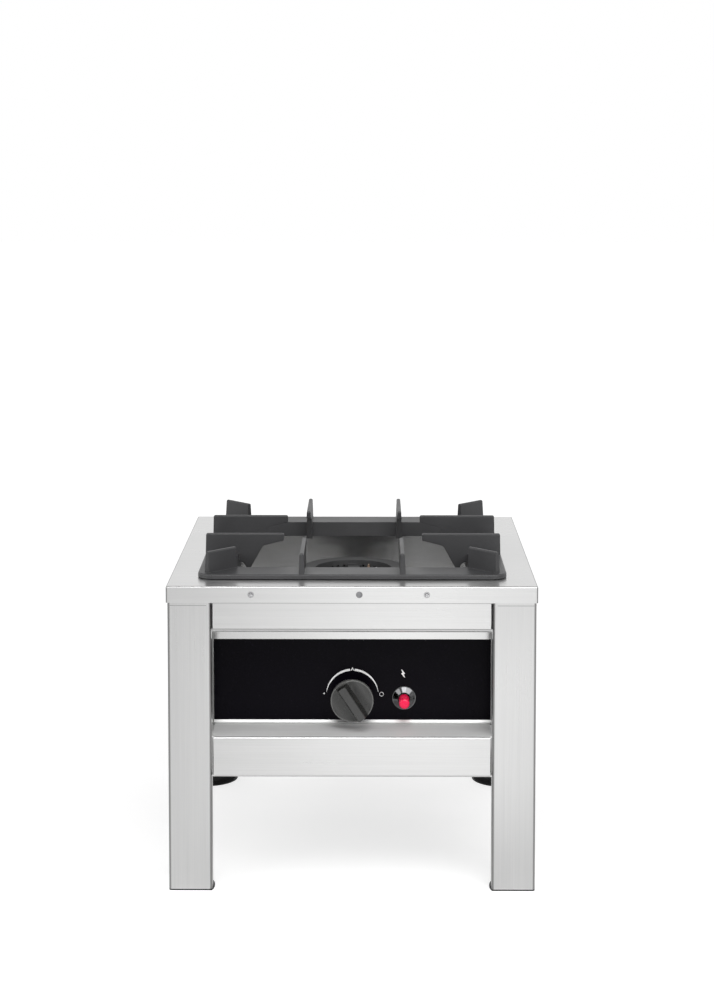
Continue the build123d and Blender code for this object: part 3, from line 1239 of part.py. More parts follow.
# One side fin of the pan support, on the right side of the ring
skirt_face = OPENING / 2 - SKIRT_CLEARANCE
skirt_inside = skirt_face - SUPPORT_SKIRT
with BuildPart() as side_fin:
    with BuildSketch(Plane.XZ):
        with BuildLine():
            Polyline(
                (skirt_inside + 2, ring_under - ARCH_RISE),
                (skirt_inside + 2, ring_top - 1),
                (FIN_OUTER + 0.5, ring_top - 1),
                (FIN_OUTER, fin_top),
                (FIN_TIP, fin_top),
                (FIN_TIP, fin_top - FIN_TIP_DEPTH),
                (FIN_KNEE, fin_top - FIN_KNEE_DEPTH),
                (FIN_FOOT, fin_bottom),
                (FIN_FOOT + FIN_FOOT_WIDTH, fin_bottom),
            )
            ThreePointArc(
                (FIN_FOOT + FIN_FOOT_WIDTH, fin_bottom),
                (FIN_FOOT + FIN_FOOT_WIDTH + 3, fin_bottom + 7),
                (skirt_inside + 2, ring_under - ARCH_RISE),
            )
        make_face()
        for rounded, radius in (
            ((FIN_KNEE, fin_top - FIN_KNEE_DEPTH), FIN_KNEE_RADIUS),
            ((FIN_TIP, fin_top), FIN_END_RADIUS),
            ((FIN_OUTER, fin_top), FIN_END_RADIUS),
        ):
            fillet(vertices().sort_by_distance(Vector(*rounded))[0], radius=radius)
    extrude(amount=FIN_BASE, both=True)
    add(fin_blank.part, mode=Mode.INTERSECT)

# One corner fin, along the diagonal
with BuildPart() as corner_fin:
    with BuildSketch(Plane.XZ):
        with BuildLine():
            Polyline(
                (CORNER_FIN_FROM, ring_top - 1),
                (CORNER_FIN_TO, ring_top - 1),
                (CORNER_FIN_TO - 1, fin_top),
                (CORNER_FIN_FROM + 1, fin_top),
                close=True,
            )
        make_face()
    extrude(amount=FIN_BASE, both=True)
    add(fin_blank.part, mode=Mode.INTERSECT)

# Cast pan support: the ring with its skirt in the opening, eight side fins and four corner fins
with BuildPart() as pan_support:
    with BuildSketch(Plane.XY.offset(ring_under)):
        RectangleRounded(SUPPORT_SIZE, SUPPORT_SIZE, SUPPORT_RADIUS)
    extrude(amount=RING_THICKNESS)
    fillet(pan_support.faces().sort_by(Axis.Z)[-1].edges(), radius=RING_EDGE)
    skirt_bottom = TOP_HEIGHT - SUPPORT_SKIRT_DROP
    with BuildSketch(Plane.XY.offset(skirt_bottom)):
        RectangleRounded(2 * skirt_face, 2 * skirt_face, OPENING_RADIUS - SKIRT_CLEARANCE)
    extrude(amount=ring_under - skirt_bottom)
    with BuildSketch(Plane.XY.offset(TOP_HEIGHT)):
        for turn in range(4):
            with Locations(Location((0, 0, 0), (0, 0, 90 * turn))):
                with Locations(*[(place, PAD_WIDTH - SUPPORT_SIZE / 2) for place in (-PAD_PLACE, PAD_PLACE)]):
                    SlotOverall(PAD_LENGTH, PAD_WIDTH)
    extrude(amount=RING_PAD)
    inside_radius = OPENING_RADIUS - SKIRT_CLEARANCE - SUPPORT_SKIRT
    with BuildSketch(Plane.XY.offset(ring_top)):
        RectangleRounded(2 * skirt_inside, 2 * skirt_inside, inside_radius)
    with BuildSketch(Plane.XY.offset(skirt_bottom)):
        RectangleRounded(
            2 * (skirt_inside - SUPPORT_SKIRT_FLARE),
            2 * (skirt_inside - SUPPORT_SKIRT_FLARE),
            inside_radius - SUPPORT_SKIRT_FLARE,
        )
    loft(mode=Mode.SUBTRACT)
    for turn in range(4):
        for place in (-FIN_PLACE, FIN_PLACE):
            add(side_fin.part.moved(Location((0, place, 0))).rotate(Axis.Z, 90 * turn))
        add(corner_fin.part.rotate(Axis.Z, 45 + 90 * turn))
save(pan_support, "pan_support")
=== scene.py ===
"""Looks of the stockpot stove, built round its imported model."""

import math

import bmesh
import bpy
from bpy.props import FloatProperty, FloatVectorProperty, PointerProperty
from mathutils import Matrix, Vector


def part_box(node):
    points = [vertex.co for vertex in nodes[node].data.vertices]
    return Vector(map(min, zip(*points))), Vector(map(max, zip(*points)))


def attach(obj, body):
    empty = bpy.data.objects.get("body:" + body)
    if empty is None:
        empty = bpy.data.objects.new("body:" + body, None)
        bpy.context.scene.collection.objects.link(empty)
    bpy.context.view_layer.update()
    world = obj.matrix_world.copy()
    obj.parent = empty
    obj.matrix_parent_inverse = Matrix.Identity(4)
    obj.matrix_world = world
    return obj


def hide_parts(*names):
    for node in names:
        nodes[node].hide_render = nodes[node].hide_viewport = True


bl_info = {
    "name": "Stockpot Stove",
    "version": (1, 0, 0),
    "blender": (4, 5, 0),
    "location": "View3D > Sidebar > Stove",
    "description": "Finishes, panel marks, controls and stage for a single-ring stockpot stove",
    "category": "Object",
}

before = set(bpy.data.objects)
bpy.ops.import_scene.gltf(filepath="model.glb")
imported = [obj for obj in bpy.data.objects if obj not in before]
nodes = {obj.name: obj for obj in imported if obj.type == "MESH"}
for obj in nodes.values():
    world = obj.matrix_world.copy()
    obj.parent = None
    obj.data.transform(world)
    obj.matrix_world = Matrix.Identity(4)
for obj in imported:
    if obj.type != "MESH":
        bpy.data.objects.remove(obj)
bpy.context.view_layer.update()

MM = 0.001
CORNERS = ("front_left", "front_right", "rear_right", "rear_left")

knob_low, knob_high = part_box("knob")
KNOB_CENTRE = (knob_low + knob_high) / 2
KNOB_BACK = knob_high.y
film_low, film_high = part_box("panel_film")
FILM_FRONT = film_low.y
bezel_low, bezel_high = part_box("igniter_bezel")
IGNITER_CENTRE = (bezel_low + bezel_high) / 2

# How far prints and the painted shadow lines stand out of their faces
PRINT_THICKNESS = 0.08 * MM
PRINT_FRONT = FILM_FRONT - PRINT_THICKNESS
# Turned forms show an edge where their faces meet at more than this
SHARP = math.radians(32)

# Grain directions, each a little off its axis so that it has a direction on every face
ACROSS = (1.0, 0.04, 0.0)
ALONG = (0.04, 1.0, 0.0)
UPRIGHT = (0.0, 0.04, 1.0)


# Settings


class STOVE_PG_steel(bpy.types.PropertyGroup):
    colour: FloatVectorProperty(
        name="Sheet colour", description="Colour of the brushed stainless sheet",
        subtype="COLOR", size=3, min=0, max=1, default=(0.745, 0.745, 0.742))
    roughness: FloatProperty(
        name="Sheet roughness", description="Roughness of the brushed sheet",
        subtype="FACTOR", min=0, max=1, default=0.3)
    grain: FloatProperty(
        name="Grain depth", description="Depth of the brushed grain",
        subtype="DISTANCE", unit="LENGTH", min=0, max=0.001, default=0.000008)
    polish: FloatProperty(
        name="Casing roughness", description="Roughness of the polished casing",
        subtype="FACTOR", min=0, max=1, default=0.2)


class STOVE_PG_panel(bpy.types.PropertyGroup):
    film_colour: FloatVectorProperty(
        name="Film colour", description="Colour of the dark control film",
        subtype="COLOR", size=3, min=0, max=1, default=(0.0026, 0.002, 0.004))
    mark_colour: FloatVectorProperty(
        name="Mark colour", description="Colour of the printed dial marks",
        subtype="COLOR", size=3, min=0, max=1, default=(1.0, 1.0, 1.0))
    arc_radius: FloatProperty(
        name="Arc radius", description="Outer radius of the dial's arc",
        subtype="DISTANCE", unit="LENGTH", min=0.02, max=0.05, default=0.0287)
    arc_width: FloatProperty(
        name="Arc width", description="Width of the dial's arc at its top",
        subtype="DISTANCE", unit="LENGTH", min=0.0005, max=0.006, default=0.0024)


class STOVE_PG_controls(bpy.types.PropertyGroup):
    knob_colour: FloatVectorProperty(
        name="Knob colour", description="Colour of the knob's plastic",
        subtype="COLOR", size=3, min=0, max=1, default=(0.01, 0.01, 0.009))
    button_colour: FloatVectorProperty(
        name="Button colour", description="Colour of the igniter's button",
        subtype="COLOR", size=3, min=0, max=1, default=(0.95, 0.012, 0.085))


class STOVE_PG_castings(bpy.types.PropertyGroup):
    support_colour: FloatVectorProperty(
        name="Pan support colour", description="Colour of the cast pan support",
        subtype="COLOR", size=3, min=0, max=1, default=(0.042, 0.042, 0.044))
    burner_colour: FloatVectorProperty(
        name="Burner colour", description="Colour of the cast burner",
        subtype="COLOR", size=3, min=0, max=1, default=(0.035, 0.035, 0.036))


class STOVE_PG_stage(bpy.types.PropertyGroup):
    world_light: FloatProperty(
        name="World light", description="Strength of the even white light",
        min=0, max=2, default=0.55)
    key_power: FloatProperty(
        name="Key light", description="Power of the light above the front",
        subtype="POWER", unit="POWER", min=0, max=500, default=11)
    side_power: FloatProperty(
        name="Side light", description="Power of the large light at the front right",
        subtype="POWER", unit="POWER", min=0, max=500, default=28)
    fill_power: FloatProperty(
        name="Fill light", description="Power of the light at the left",
        subtype="POWER", unit="POWER", min=0, max=500, default=14)


# Node helpers


def new_material(name):
    """A new material with its node tree and its shader."""
    material = bpy.data.materials.new(name)
    material.use_nodes = True
    return material, material.node_tree, material.node_tree.nodes["Principled BSDF"]


def place(tree, stretch=(1, 1, 1)):
    """The object's own coordinates, stretched."""
    coordinates = tree.nodes.new("ShaderNodeTexCoord")
    mapping = tree.nodes.new("ShaderNodeMapping")
    mapping.inputs["Scale"].default_value = stretch
    tree.links.new(coordinates.outputs["Object"], mapping.inputs["Vector"])
    return mapping.outputs["Vector"]


def noise(tree, vector, scale, detail, roughness=0.5):
    """An uneven value round 0.5."""
    texture = tree.nodes.new("ShaderNodeTexNoise")
    texture.inputs["Scale"].default_value = scale
    texture.inputs["Detail"].default_value = detail
    texture.inputs["Roughness"].default_value = roughness
    tree.links.new(vector, texture.inputs["Vector"])
    return texture.outputs["Fac"]


def spread(tree, value, low, high, start=0.0, end=1.0):
    """Maps a value from start..end on to low..high."""
    node = tree.nodes.new("ShaderNodeMapRange")
    node.inputs["From Min"].default_value = start
    node.inputs["From Max"].default_value = end
    node.inputs["To Min"].default_value = low
    node.inputs["To Max"].default_value = high
    tree.links.new(value, node.inputs["Value"])
    return node.outputs["Result"]


def share_of(tree, value, start, end):
    """0 where a value is at start, 1 where it is at end."""
    return spread(tree, value, 0, 1, start, end)


def evened(tree, value):
    """A noise's middle, where nearly all of it lies, spread from 0 to 1."""
    return share_of(tree, value, 0.3, 0.7)


def tint(tree, value, dark, light):
    """Mixes two colours by a value."""
    node = tree.nodes.new("ShaderNodeMix")
    node.data_type = "RGBA"
    node.inputs["A"].default_value = (*dark, 1)
    node.inputs["B"].default_value = (*light, 1)
    tree.links.new(value, node.inputs["Factor"])
    return node.outputs["Result"]


def towards(tree, value, tone, colour):
    """Moves a tone that varies towards one colour by a value."""
    node = tree.nodes.new("ShaderNodeMix")
    node.data_type = "RGBA"
    node.inputs["B"].default_value = (*colour, 1)
    tree.links.new(value, node.inputs["Factor"])
    tree.links.new(tone, node.inputs["A"])
    return node.outputs["Result"]


def blended(tree, first, second, share):
    """Part of one value and part of another."""
    node = tree.nodes.new("ShaderNodeMix")
    node.inputs["Factor"].default_value = share
    tree.links.new(first, node.inputs["A"])
    tree.links.new(second, node.inputs["B"])
    return node.outputs["Result"]


def combined(tree, operation, first, second):
    """Arithmetic on two values, the second a socket or a number."""
    node = tree.nodes.new("ShaderNodeMath")
    node.operation = operation
    tree.links.new(first, node.inputs[0])
    if isinstance(second, (int, float)):
        node.inputs[1].default_value = second
    else:
        tree.links.new(second, node.inputs[1])
    return node.outputs["Value"]


def axis_part(tree, vector, axis):
    """One axis of a vector."""
    node = tree.nodes.new("ShaderNodeSeparateXYZ")
    tree.links.new(vector, node.inputs["Vector"])
    return node.outputs[axis]


def length_of(tree, vector):
    """A vector's length."""
    node = tree.nodes.new("ShaderNodeVectorMath")
    node.operation = "LENGTH"
    tree.links.new(vector, node.inputs[0])
    return node.outputs["Value"]


def bump(tree, shader, height, depth, rounding=0):
    """Relief on the surface, with its sharp edges shown rounded by a radius."""
    node = tree.nodes.new("ShaderNodeBump")
    node.inputs["Strength"].default_value = 1.0
    node.inputs["Distance"].default_value = depth
    tree.links.new(height, node.inputs["Height"])
    if rounding:
        edge = tree.nodes.new("ShaderNodeBevel")
        edge.samples = 6
        edge.inputs["Radius"].default_value = rounding
        tree.links.new(edge.outputs["Normal"], node.inputs["Normal"])
    tree.links.new(node.outputs["Normal"], shader.inputs["Normal"])


def shaded(colour, factor):
    """A colour made darker or lighter."""
    return tuple(min(1.0, c * factor) for c in colour)


def varied(tree, shader, share, dark, light, roughness, swing):
    """Colour and roughness that vary over the surface by a share."""
    tree.links.new(tint(tree, share, dark, light), shader.inputs["Base Color"])
    rough = spread(tree, share, max(0.02, roughness - swing), roughness + swing)
    tree.links.new(rough, shader.inputs["Roughness"])


def dress(material, *names):
    """Gives CAD nodes a material."""
    for name in names:
        mesh = nodes[name].data
        mesh.materials.clear()
        mesh.materials.append(material)


# Finishes


# How steep a face is where the painted shade on a bend starts and where it is full, and how dark
# that painted shade is
UPRIGHT_BEND = (0.12, 0.3)
RISING_BEND = (0.5, 0.7)
LEVEL_BEND = (0.995, 0.94)
BEND_SHADE_TONE = 0.45
# The scales of the grain and of the cloud over it, and the share that is left along the grain
FINE_GRAIN = 1000
WIDE_GRAIN = 190
SHEET_CLOUD = 7
GRAIN_STRETCH = 0.012
# How much of the cloud is in the sheet's roughness, and how that swings over the noise's span
CLOUD_SHARE = 0.45
ROUGHNESS_SWING = 0.04
ROUGHNESS_SPAN = (0.35, 0.65)
# How far up a face of satin sheet looks where it starts to be satin and where it is
LOOKING_UP = (0.7, 0.95)
SATIN_METALLIC = 0.3
SATIN_ROUGHNESS = 0.15


def painted_bend_shade(tree, normal):
    """How much painted shade a face gets, on an upright bend or on the upper half of the top's bend.
    """
    x, y, z = (axis_part(tree, normal, axis) for axis in "XYZ")
    corner = combined(tree, "ABSOLUTE", combined(tree, "MULTIPLY", x, y), 0)
    upright = share_of(tree, corner, *UPRIGHT_BEND)
    folded = combined(
        tree, "MULTIPLY", share_of(tree, z, *RISING_BEND), share_of(tree, z, *LEVEL_BEND))
    return combined(tree, "MAXIMUM", folded, upright)


def brushed(name, grain, colour, roughness, depth, shine=0.6, streak=0.04, satin=False):
    """Stainless sheet with grain along one axis and painted shade on its bends, satin on the faces
    that look up if asked.
    """
    material, tree, shader = new_material(name)
    normal = tree.nodes.new("ShaderNodeNewGeometry").outputs["True Normal"]
    stretch = tuple(GRAIN_STRETCH if abs(axis) > 0.5 else 1.0 for axis in grain)
    fine = noise(tree, place(tree, stretch), FINE_GRAIN, detail=2)
    wide = noise(tree, place(tree, stretch), WIDE_GRAIN, detail=3)
    cloud = noise(tree, place(tree), SHEET_CLOUD, detail=2)
    lines = blended(tree, fine, wide, 0.5)
    sheet = tint(tree, evened(tree, lines), shaded(colour, 1 - streak), shaded(colour, 1 + streak))
    # The bends are painted darker, as shade
    tone = towards(tree, painted_bend_shade(tree, normal), sheet, shaded(colour, BEND_SHADE_TONE))
    tree.links.new(tone, shader.inputs["Base Color"])
    mixed = blended(tree, lines, cloud, CLOUD_SHARE)
    rough = spread(
        tree, mixed, roughness - ROUGHNESS_SWING, roughness + ROUGHNESS_SWING, *ROUGHNESS_SPAN)
    if satin:
        upward = share_of(tree, axis_part(tree, normal, "Z"), *LOOKING_UP)
        rough = combined(tree, "ADD", rough, combined(tree, "MULTIPLY", upward, SATIN_ROUGHNESS))
        tree.links.new(spread(tree, upward, 1, SATIN_METALLIC), shader.inputs["Metallic"])
    else:
        shader.inputs["Metallic"].default_value = 1.0
    tree.links.new(rough, shader.inputs["Roughness"])
    shader.inputs["Anisotropic"].default_value = shine
    across = tree.nodes.new("ShaderNodeVectorMath")
    across.operation = "CROSS_PRODUCT"
    across.inputs[1].default_value = grain
    tree.links.new(normal, across.inputs[0])
    tree.links.new(across.outputs["Vector"], shader.inputs["Tangent"])
    bump(tree, shader, lines, depth)
    return material


def metal(name, colour, roughness, mottle=0.06, grit=600, depth=0.00001):
    """Plain metal with a fine uneven surface."""
    material, tree, shader = new_material(name)
    specks = noise(tree, place(tree), grit, detail=3)
    cloud = noise(tree, place(tree), scale=40, detail=2)
    share = evened(tree, blended(tree, specks, cloud, 0.5))
    dark, light = shaded(colour, 1 - mottle), shaded(colour, 1 + mottle)
    varied(tree, shader, share, dark, light, roughness, swing=0.07)
    shader.inputs["Metallic"].default_value = 1.0
    bump(tree, shader, specks, depth)
    return material


def plastic(name, colour, roughness, shine=0.5, grit=900, depth=0.00002, mottle=0.08, coat=0.0):
    """Moulded plastic, ceramic or print with a fine texture."""
    material, tree, shader = new_material(name)
    specks = noise(tree, place(tree), grit, detail=2)
    cloud = noise(tree, place(tree), scale=60, detail=2)
    dark, light = shaded(colour, 1 - mottle), shaded(colour, 1 + mottle)
    varied(tree, shader, evened(tree, cloud), dark, light, roughness, swing=0.05)
    shader.inputs["Specular IOR Level"].default_value = shine
    if coat:
        shader.inputs["Coat Weight"].default_value = coat
        shader.inputs["Coat Roughness"].default_value = 0.08
    bump(tree, shader, specks, depth)
    return material


def cast(name, colour, roughness, depth, metallic=0.0):
    """Cast iron with the sand's grain and softened edges, slightly uneven all over."""
    material, tree, shader = new_material(name)
    sand = noise(tree, place(tree), scale=1100, detail=4, roughness=0.65)
    lumps = noise(tree, place(tree), scale=140, detail=3)
    cloud = noise(tree, place(tree), scale=22, detail=3)
    share = evened(tree, blended(tree, sand, cloud, 0.5))
    varied(tree, shader, share, shaded(colour, 0.82), shaded(colour, 1.2), roughness, swing=0.08)
    shader.inputs["Metallic"].default_value = metallic
    bump(tree, shader, blended(tree, sand, lumps, 0.4), depth, rounding=1.2 * MM)
    return material


# Mesh helpers


def add_piece(name, bm, material, replaced=()):
    """Makes a piece of the frame from a mesh under construction."""
    mesh = bpy.data.meshes.new(name)
    bm.normal_update()
    bm.to_mesh(mesh)
    bm.free()
    mesh.materials.append(material)
    piece = bpy.data.objects.new(name, mesh)
    bpy.context.scene.collection.objects.link(piece)
    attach(piece, "frame")
    if replaced:
        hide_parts(*replaced)


def circle(radius, count, closed=False):
    """Points round a circle, the first again at the end if it's closed."""
    turns = [2 * math.pi * i / count for i in range(count + closed)]
    return [(radius * math.cos(t), radius * math.sin(t)) for t in turns]


def shifted(points, centre, x=0, z=0):
    """Points about a centre's x and z, with an offset in millimetres."""
    return [(centre.x + x * MM + u, centre.z + z * MM + v) for u, v in points]


def turned(bm, rows, centre, start, toward, segments):
    """A closed turned form along y, from rows of depth and radius or a radius for each angle."""
    rings = []
    for depth, radius in rows:
        y = start + toward * depth * MM
        ring = []
        for step in range(segments):
            angle = 2 * math.pi * step / segments
            reach = (radius(angle) if callable(radius) else radius) * MM
            x = centre.x + reach * math.cos(angle)
            z = centre.z + reach * math.sin(angle)
            ring.append(bm.verts.new((x, y, z)))
        rings.append(ring)
    for a, b in zip(rings, rings[1:] + rings[:1]):
        for i in range(segments):
            j = (i + 1) % segments
            bm.faces.new((a[i], a[j], b[j], b[i]))
    bmesh.ops.recalc_face_normals(bm, faces=bm.faces)
    for face in bm.faces:
        face.smooth = True
    for edge in bm.edges:
        edge.smooth = edge.calc_face_angle(0) < SHARP


def plate(bm, outline):
    """A printed patch on the film, from (x, z) points going anticlockwise."""
    back = [bm.verts.new((x, FILM_FRONT, z)) for x, z in outline]
    front = [bm.verts.new((x, PRINT_FRONT, z)) for x, z in outline]
    bm.faces.new(front)
    bm.faces.new(list(reversed(back)))
    for i in range(len(outline)):
        j = (i + 1) % len(outline)
        bm.faces.new((back[i], back[j], front[j], front[i]))


def band(bm, inner, outer):
    """A printed strip on the film between two (x, z) lines of equal length."""
    rows = []
    for (xi, zi), (xo, zo) in zip(inner, outer):
        section = (
            (xi, FILM_FRONT, zi), (xo, FILM_FRONT, zo), (xo, PRINT_FRONT, zo), (xi, PRINT_FRONT, zi))
        rows.append([bm.verts.new(point) for point in section])
    for a, b in zip(rows, rows[1:]):
        for i in range(4):
            j = (i + 1) % 4
            bm.faces.new((a[i], a[j], b[j], b[i]))
    bm.faces.new(list(reversed(rows[0])))
    bm.faces.new(rows[-1])
    bmesh.ops.recalc_face_normals(bm, faces=bm.faces)


# Operators


class STOVE_OT_sheet_metal(bpy.types.Operator):
    """Brushed and polished finishes for the top, legs, rails and casing"""
    bl_idname = "stove.sheet_metal"
    bl_label = "Sheet Metal"

    # Shares of the sheet's colour; the top's share is raised as painted light and the legs' lowered
    # as painted shade
    TOP_LIT_TONE = 1.02
    LEG_SHADED_TONE = 0.95
    CASING_TONE = 0.93
    BEAD_TONE = 0.9
    # Length and margin of the painted shadow lines on the legs
    LEG_SHADOW_LINE = 42 * MM
    SHADOW_LINE_MARGIN = 2.5 * MM
    # Foot and top of the painted shadow lines on the legs and the upper rails, in millimetres
    LEG_SHADOW_LINE_HEIGHT = (313.5, 314.1)
    RAIL_SHADOW_LINES = ((316.2, 316.8), (287.4, 288.6), (285.1, 285.6))
    BAR_FACES = ((0, 1, 3, 2), (4, 5, 7, 6), (0, 1, 5, 4), (2, 3, 7, 6), (0, 2, 6, 4), (1, 3, 7, 5))
    # The bead's distance out of the panel and down from the film, in millimetres
    BEAD = ((0, 0), (0.15, 0), (0.3, 0.1), (2.0, 2.6), (2.05, 2.8), (1.95, 3.0), (0, 3.4))

    def execute(self, context):
        steel = context.scene.stove_steel
        colour, rough, grain = tuple(steel.colour), steel.roughness, steel.grain
        # The top is a lighter copy of the sheet colour, painted light
        top = brushed("stainless_top", ACROSS, shaded(colour, self.TOP_LIT_TONE), rough, grain)
        dress(top, "top_plate")
        # The legs are a darker copy of the sheet colour, painted shade
        upright = brushed(
            "stainless_upright", UPRIGHT, shaded(colour, self.LEG_SHADED_TONE), rough, grain)
        dress(upright, *[f"leg_{corner}" for corner in CORNERS])
        across = brushed("stainless_across", ACROSS, colour, rough, grain, satin=True)
        dress(across, "lower_rail_front", "lower_rail_rear", "upper_rail_front", "upper_rail_rear")
        along = brushed("stainless_along", ALONG, colour, rough, grain, satin=True)
        dress(along, "lower_rail_left", "lower_rail_right", "upper_rail_left", "upper_rail_right")
        for name, direction, panels in (
                ("casing_across", ACROSS, ("control_panel", "back_panel")),
                ("casing_along", ALONG, ("side_panel_left", "side_panel_right"))):
            casing = brushed(
                name, direction, shaded(colour, self.CASING_TONE), steel.polish, grain / 4,
                shine=0.3, streak=0.02)
            dress(casing, *panels)
        dress(metal("shield_steel", (0.05, 0.05, 0.055), roughness=0.45), "heat_shield")
        feet = plastic("foot_plastic", (0.012, 0.012, 0.013), roughness=0.5)
        dress(feet, *[f"foot_{corner}" for corner in CORNERS])
        # Dark strips painted where shadow lines fall under the skirt and along the rails' hems
        self.painted_shadow_lines(metal("seam_shadow", (0.4, 0.4, 0.4), roughness=0.5))
        self.film_bead(brushed(
            "polished_bead", ACROSS, shaded(colour, self.BEAD_TONE), roughness=0.42, depth=0,
            shine=0.3, streak=0.02))
        return {"FINISHED"}

    def film_bead(self, material):
        """A fine slanted bead in the panel, close under the film."""
        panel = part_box("control_panel")[0].y
        bm = bmesh.new()
        ends = []
        for x in (film_low.x, film_high.x):
            profile = [(x, panel - out * MM, film_low.z - down * MM) for out, down in self.BEAD]
            ends.append([bm.verts.new(point) for point in profile])
        for i in range(len(self.BEAD)):
            j = (i + 1) % len(self.BEAD)
            bm.faces.new((ends[0][i], ends[0][j], ends[1][j], ends[1][i]))
        for end in ends:
            bm.faces.new(end)
        bmesh.ops.recalc_face_normals(bm, faces=bm.faces)
        add_piece("film_bead", bm, material)

    def painted_shadow_lines(self, material):
        """Painted shadow lines: fine dark strips under the skirt and along the hems of the upper
        rails, where the joints fall in shade.
        """
        bm = bmesh.new()
        for corner in CORNERS:
            low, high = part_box(f"leg_{corner}")
            side = 1 if low.x > 0 else -1
            end = 1 if low.y > 0 else -1
            x = high.x if side > 0 else low.x
            y = high.y if end > 0 else low.y
            inner_x, inner_y = x - side * self.LEG_SHADOW_LINE, y - end * self.LEG_SHADOW_LINE
            outer_x, outer_y = x - side * self.SHADOW_LINE_MARGIN, y - end * self.SHADOW_LINE_MARGIN
            self.bar(bm, (inner_x, y), (outer_x, y), (0, end), *self.LEG_SHADOW_LINE_HEIGHT)
            self.bar(bm, (x, inner_y), (x, outer_y), (side, 0), *self.LEG_SHADOW_LINE_HEIGHT)
        low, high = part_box("upper_rail_front")
        for heights in self.RAIL_SHADOW_LINES:
            for end in (-1, 1):
                face = end * abs(low.y)
                self.bar(bm, (low.x, face), (high.x, face), (0, end), *heights)
                self.bar(bm, (face, low.x), (face, high.x), (end, 0), *heights)
        bmesh.ops.recalc_face_normals(bm, faces=bm.faces)
        add_piece("painted_shadow_lines", bm, material)

    def bar(self, bm, start, stop, out, foot, top):
        """A fine bar along an upright face, that stands out of it by the print's thickness."""
        corners = []
        for x, y in (start, stop):
            for stand in (0, PRINT_THICKNESS):
                for z in (foot, top):
                    point = (x + out[0] * stand, y + out[1] * stand, z * MM)
                    corners.append(bm.verts.new(point))
        for face in self.BAR_FACES:
            bm.faces.new([corners[i] for i in face])


class STOVE_OT_panel_marks(bpy.types.Operator):
    """Glossy film and the white marks printed on it"""
    bl_idname = "stove.panel_marks"
    bl_label = "Panel Marks"

    # The arc's centre in millimetres, its angles from upright, and how it narrows
    ARC_CENTRE = (0.15, 0.46)
    ARC_GAP = 5.2
    ARC_END = 85
    ARC_STEPS = 40
    ARC_TAPER = 0.9
    ARC_FALL = 1.8
    # Places from the knob's or the igniter's centre, radii and stroke, in millimetres
    DOT = (-31.1, 1.3, 0.8)
    DOT_POINTS = 24
    RING = (32.3, 0.6, 2.4, 0.4)
    RING_POINTS = 48
    FLAME = ((0.2, 30.9), (-1.75, 27.1), (-0.6, 27.1), (0.25, 29.0), (1.1, 27.1), (2.3, 27.1))
    BOLT = ((-3.2, 31.4), (-1.7, 30.9), (1.0, 27.3), (-0.3, 26.0),
            (1.2, 22.6), (0, 23.0), (-3.2, 27.1), (-1.7, 28.1))

    def execute(self, context):
        panel = context.scene.stove_panel
        film = plastic(
            "panel_film", tuple(panel.film_colour), roughness=0.28, shine=0.06,
            grit=300, depth=0.000004, mottle=0.04)
        dress(film, "panel_film")
        bm = bmesh.new()
        self.arc(bm, panel.arc_radius, panel.arc_width)
        x, z, radius = self.DOT
        dot = shifted(circle(radius * MM, self.DOT_POINTS), KNOB_CENTRE, x, z)
        plate(bm, dot)
        x, z, radius, stroke = self.RING
        lines = [circle(r * MM, self.RING_POINTS, closed=True) for r in (radius - stroke, radius)]
        inner, outer = (shifted(line, KNOB_CENTRE, x, z) for line in lines)
        band(bm, inner, outer)
        for outline, centre in ((self.FLAME, KNOB_CENTRE), (self.BOLT, IGNITER_CENTRE)):
            plate(bm, shifted([(x * MM, z * MM) for x, z in outline], centre))
        bmesh.ops.recalc_face_normals(bm, faces=bm.faces)
        add_piece("panel_marks", bm, plastic("mark_print", tuple(panel.mark_colour), roughness=0.5))
        return {"FINISHED"}

    def arc(self, bm, radius, width):
        """The arc on each side of the flame mark, narrowing towards its ends."""
        for side in (-1, 1):
            inner, outer = [], []
            for step in range(self.ARC_STEPS + 1):
                share = step / self.ARC_STEPS
                angle = math.radians(self.ARC_GAP + (self.ARC_END - self.ARC_GAP) * share)
                narrowed = width * (1 - self.ARC_TAPER * share ** self.ARC_FALL)
                for line, r in ((inner, radius - narrowed), (outer, radius)):
                    line.append((side * r * math.sin(angle), r * math.cos(angle)))
            band(bm, *[shifted(line, KNOB_CENTRE, *self.ARC_CENTRE) for line in (inner, outer)])


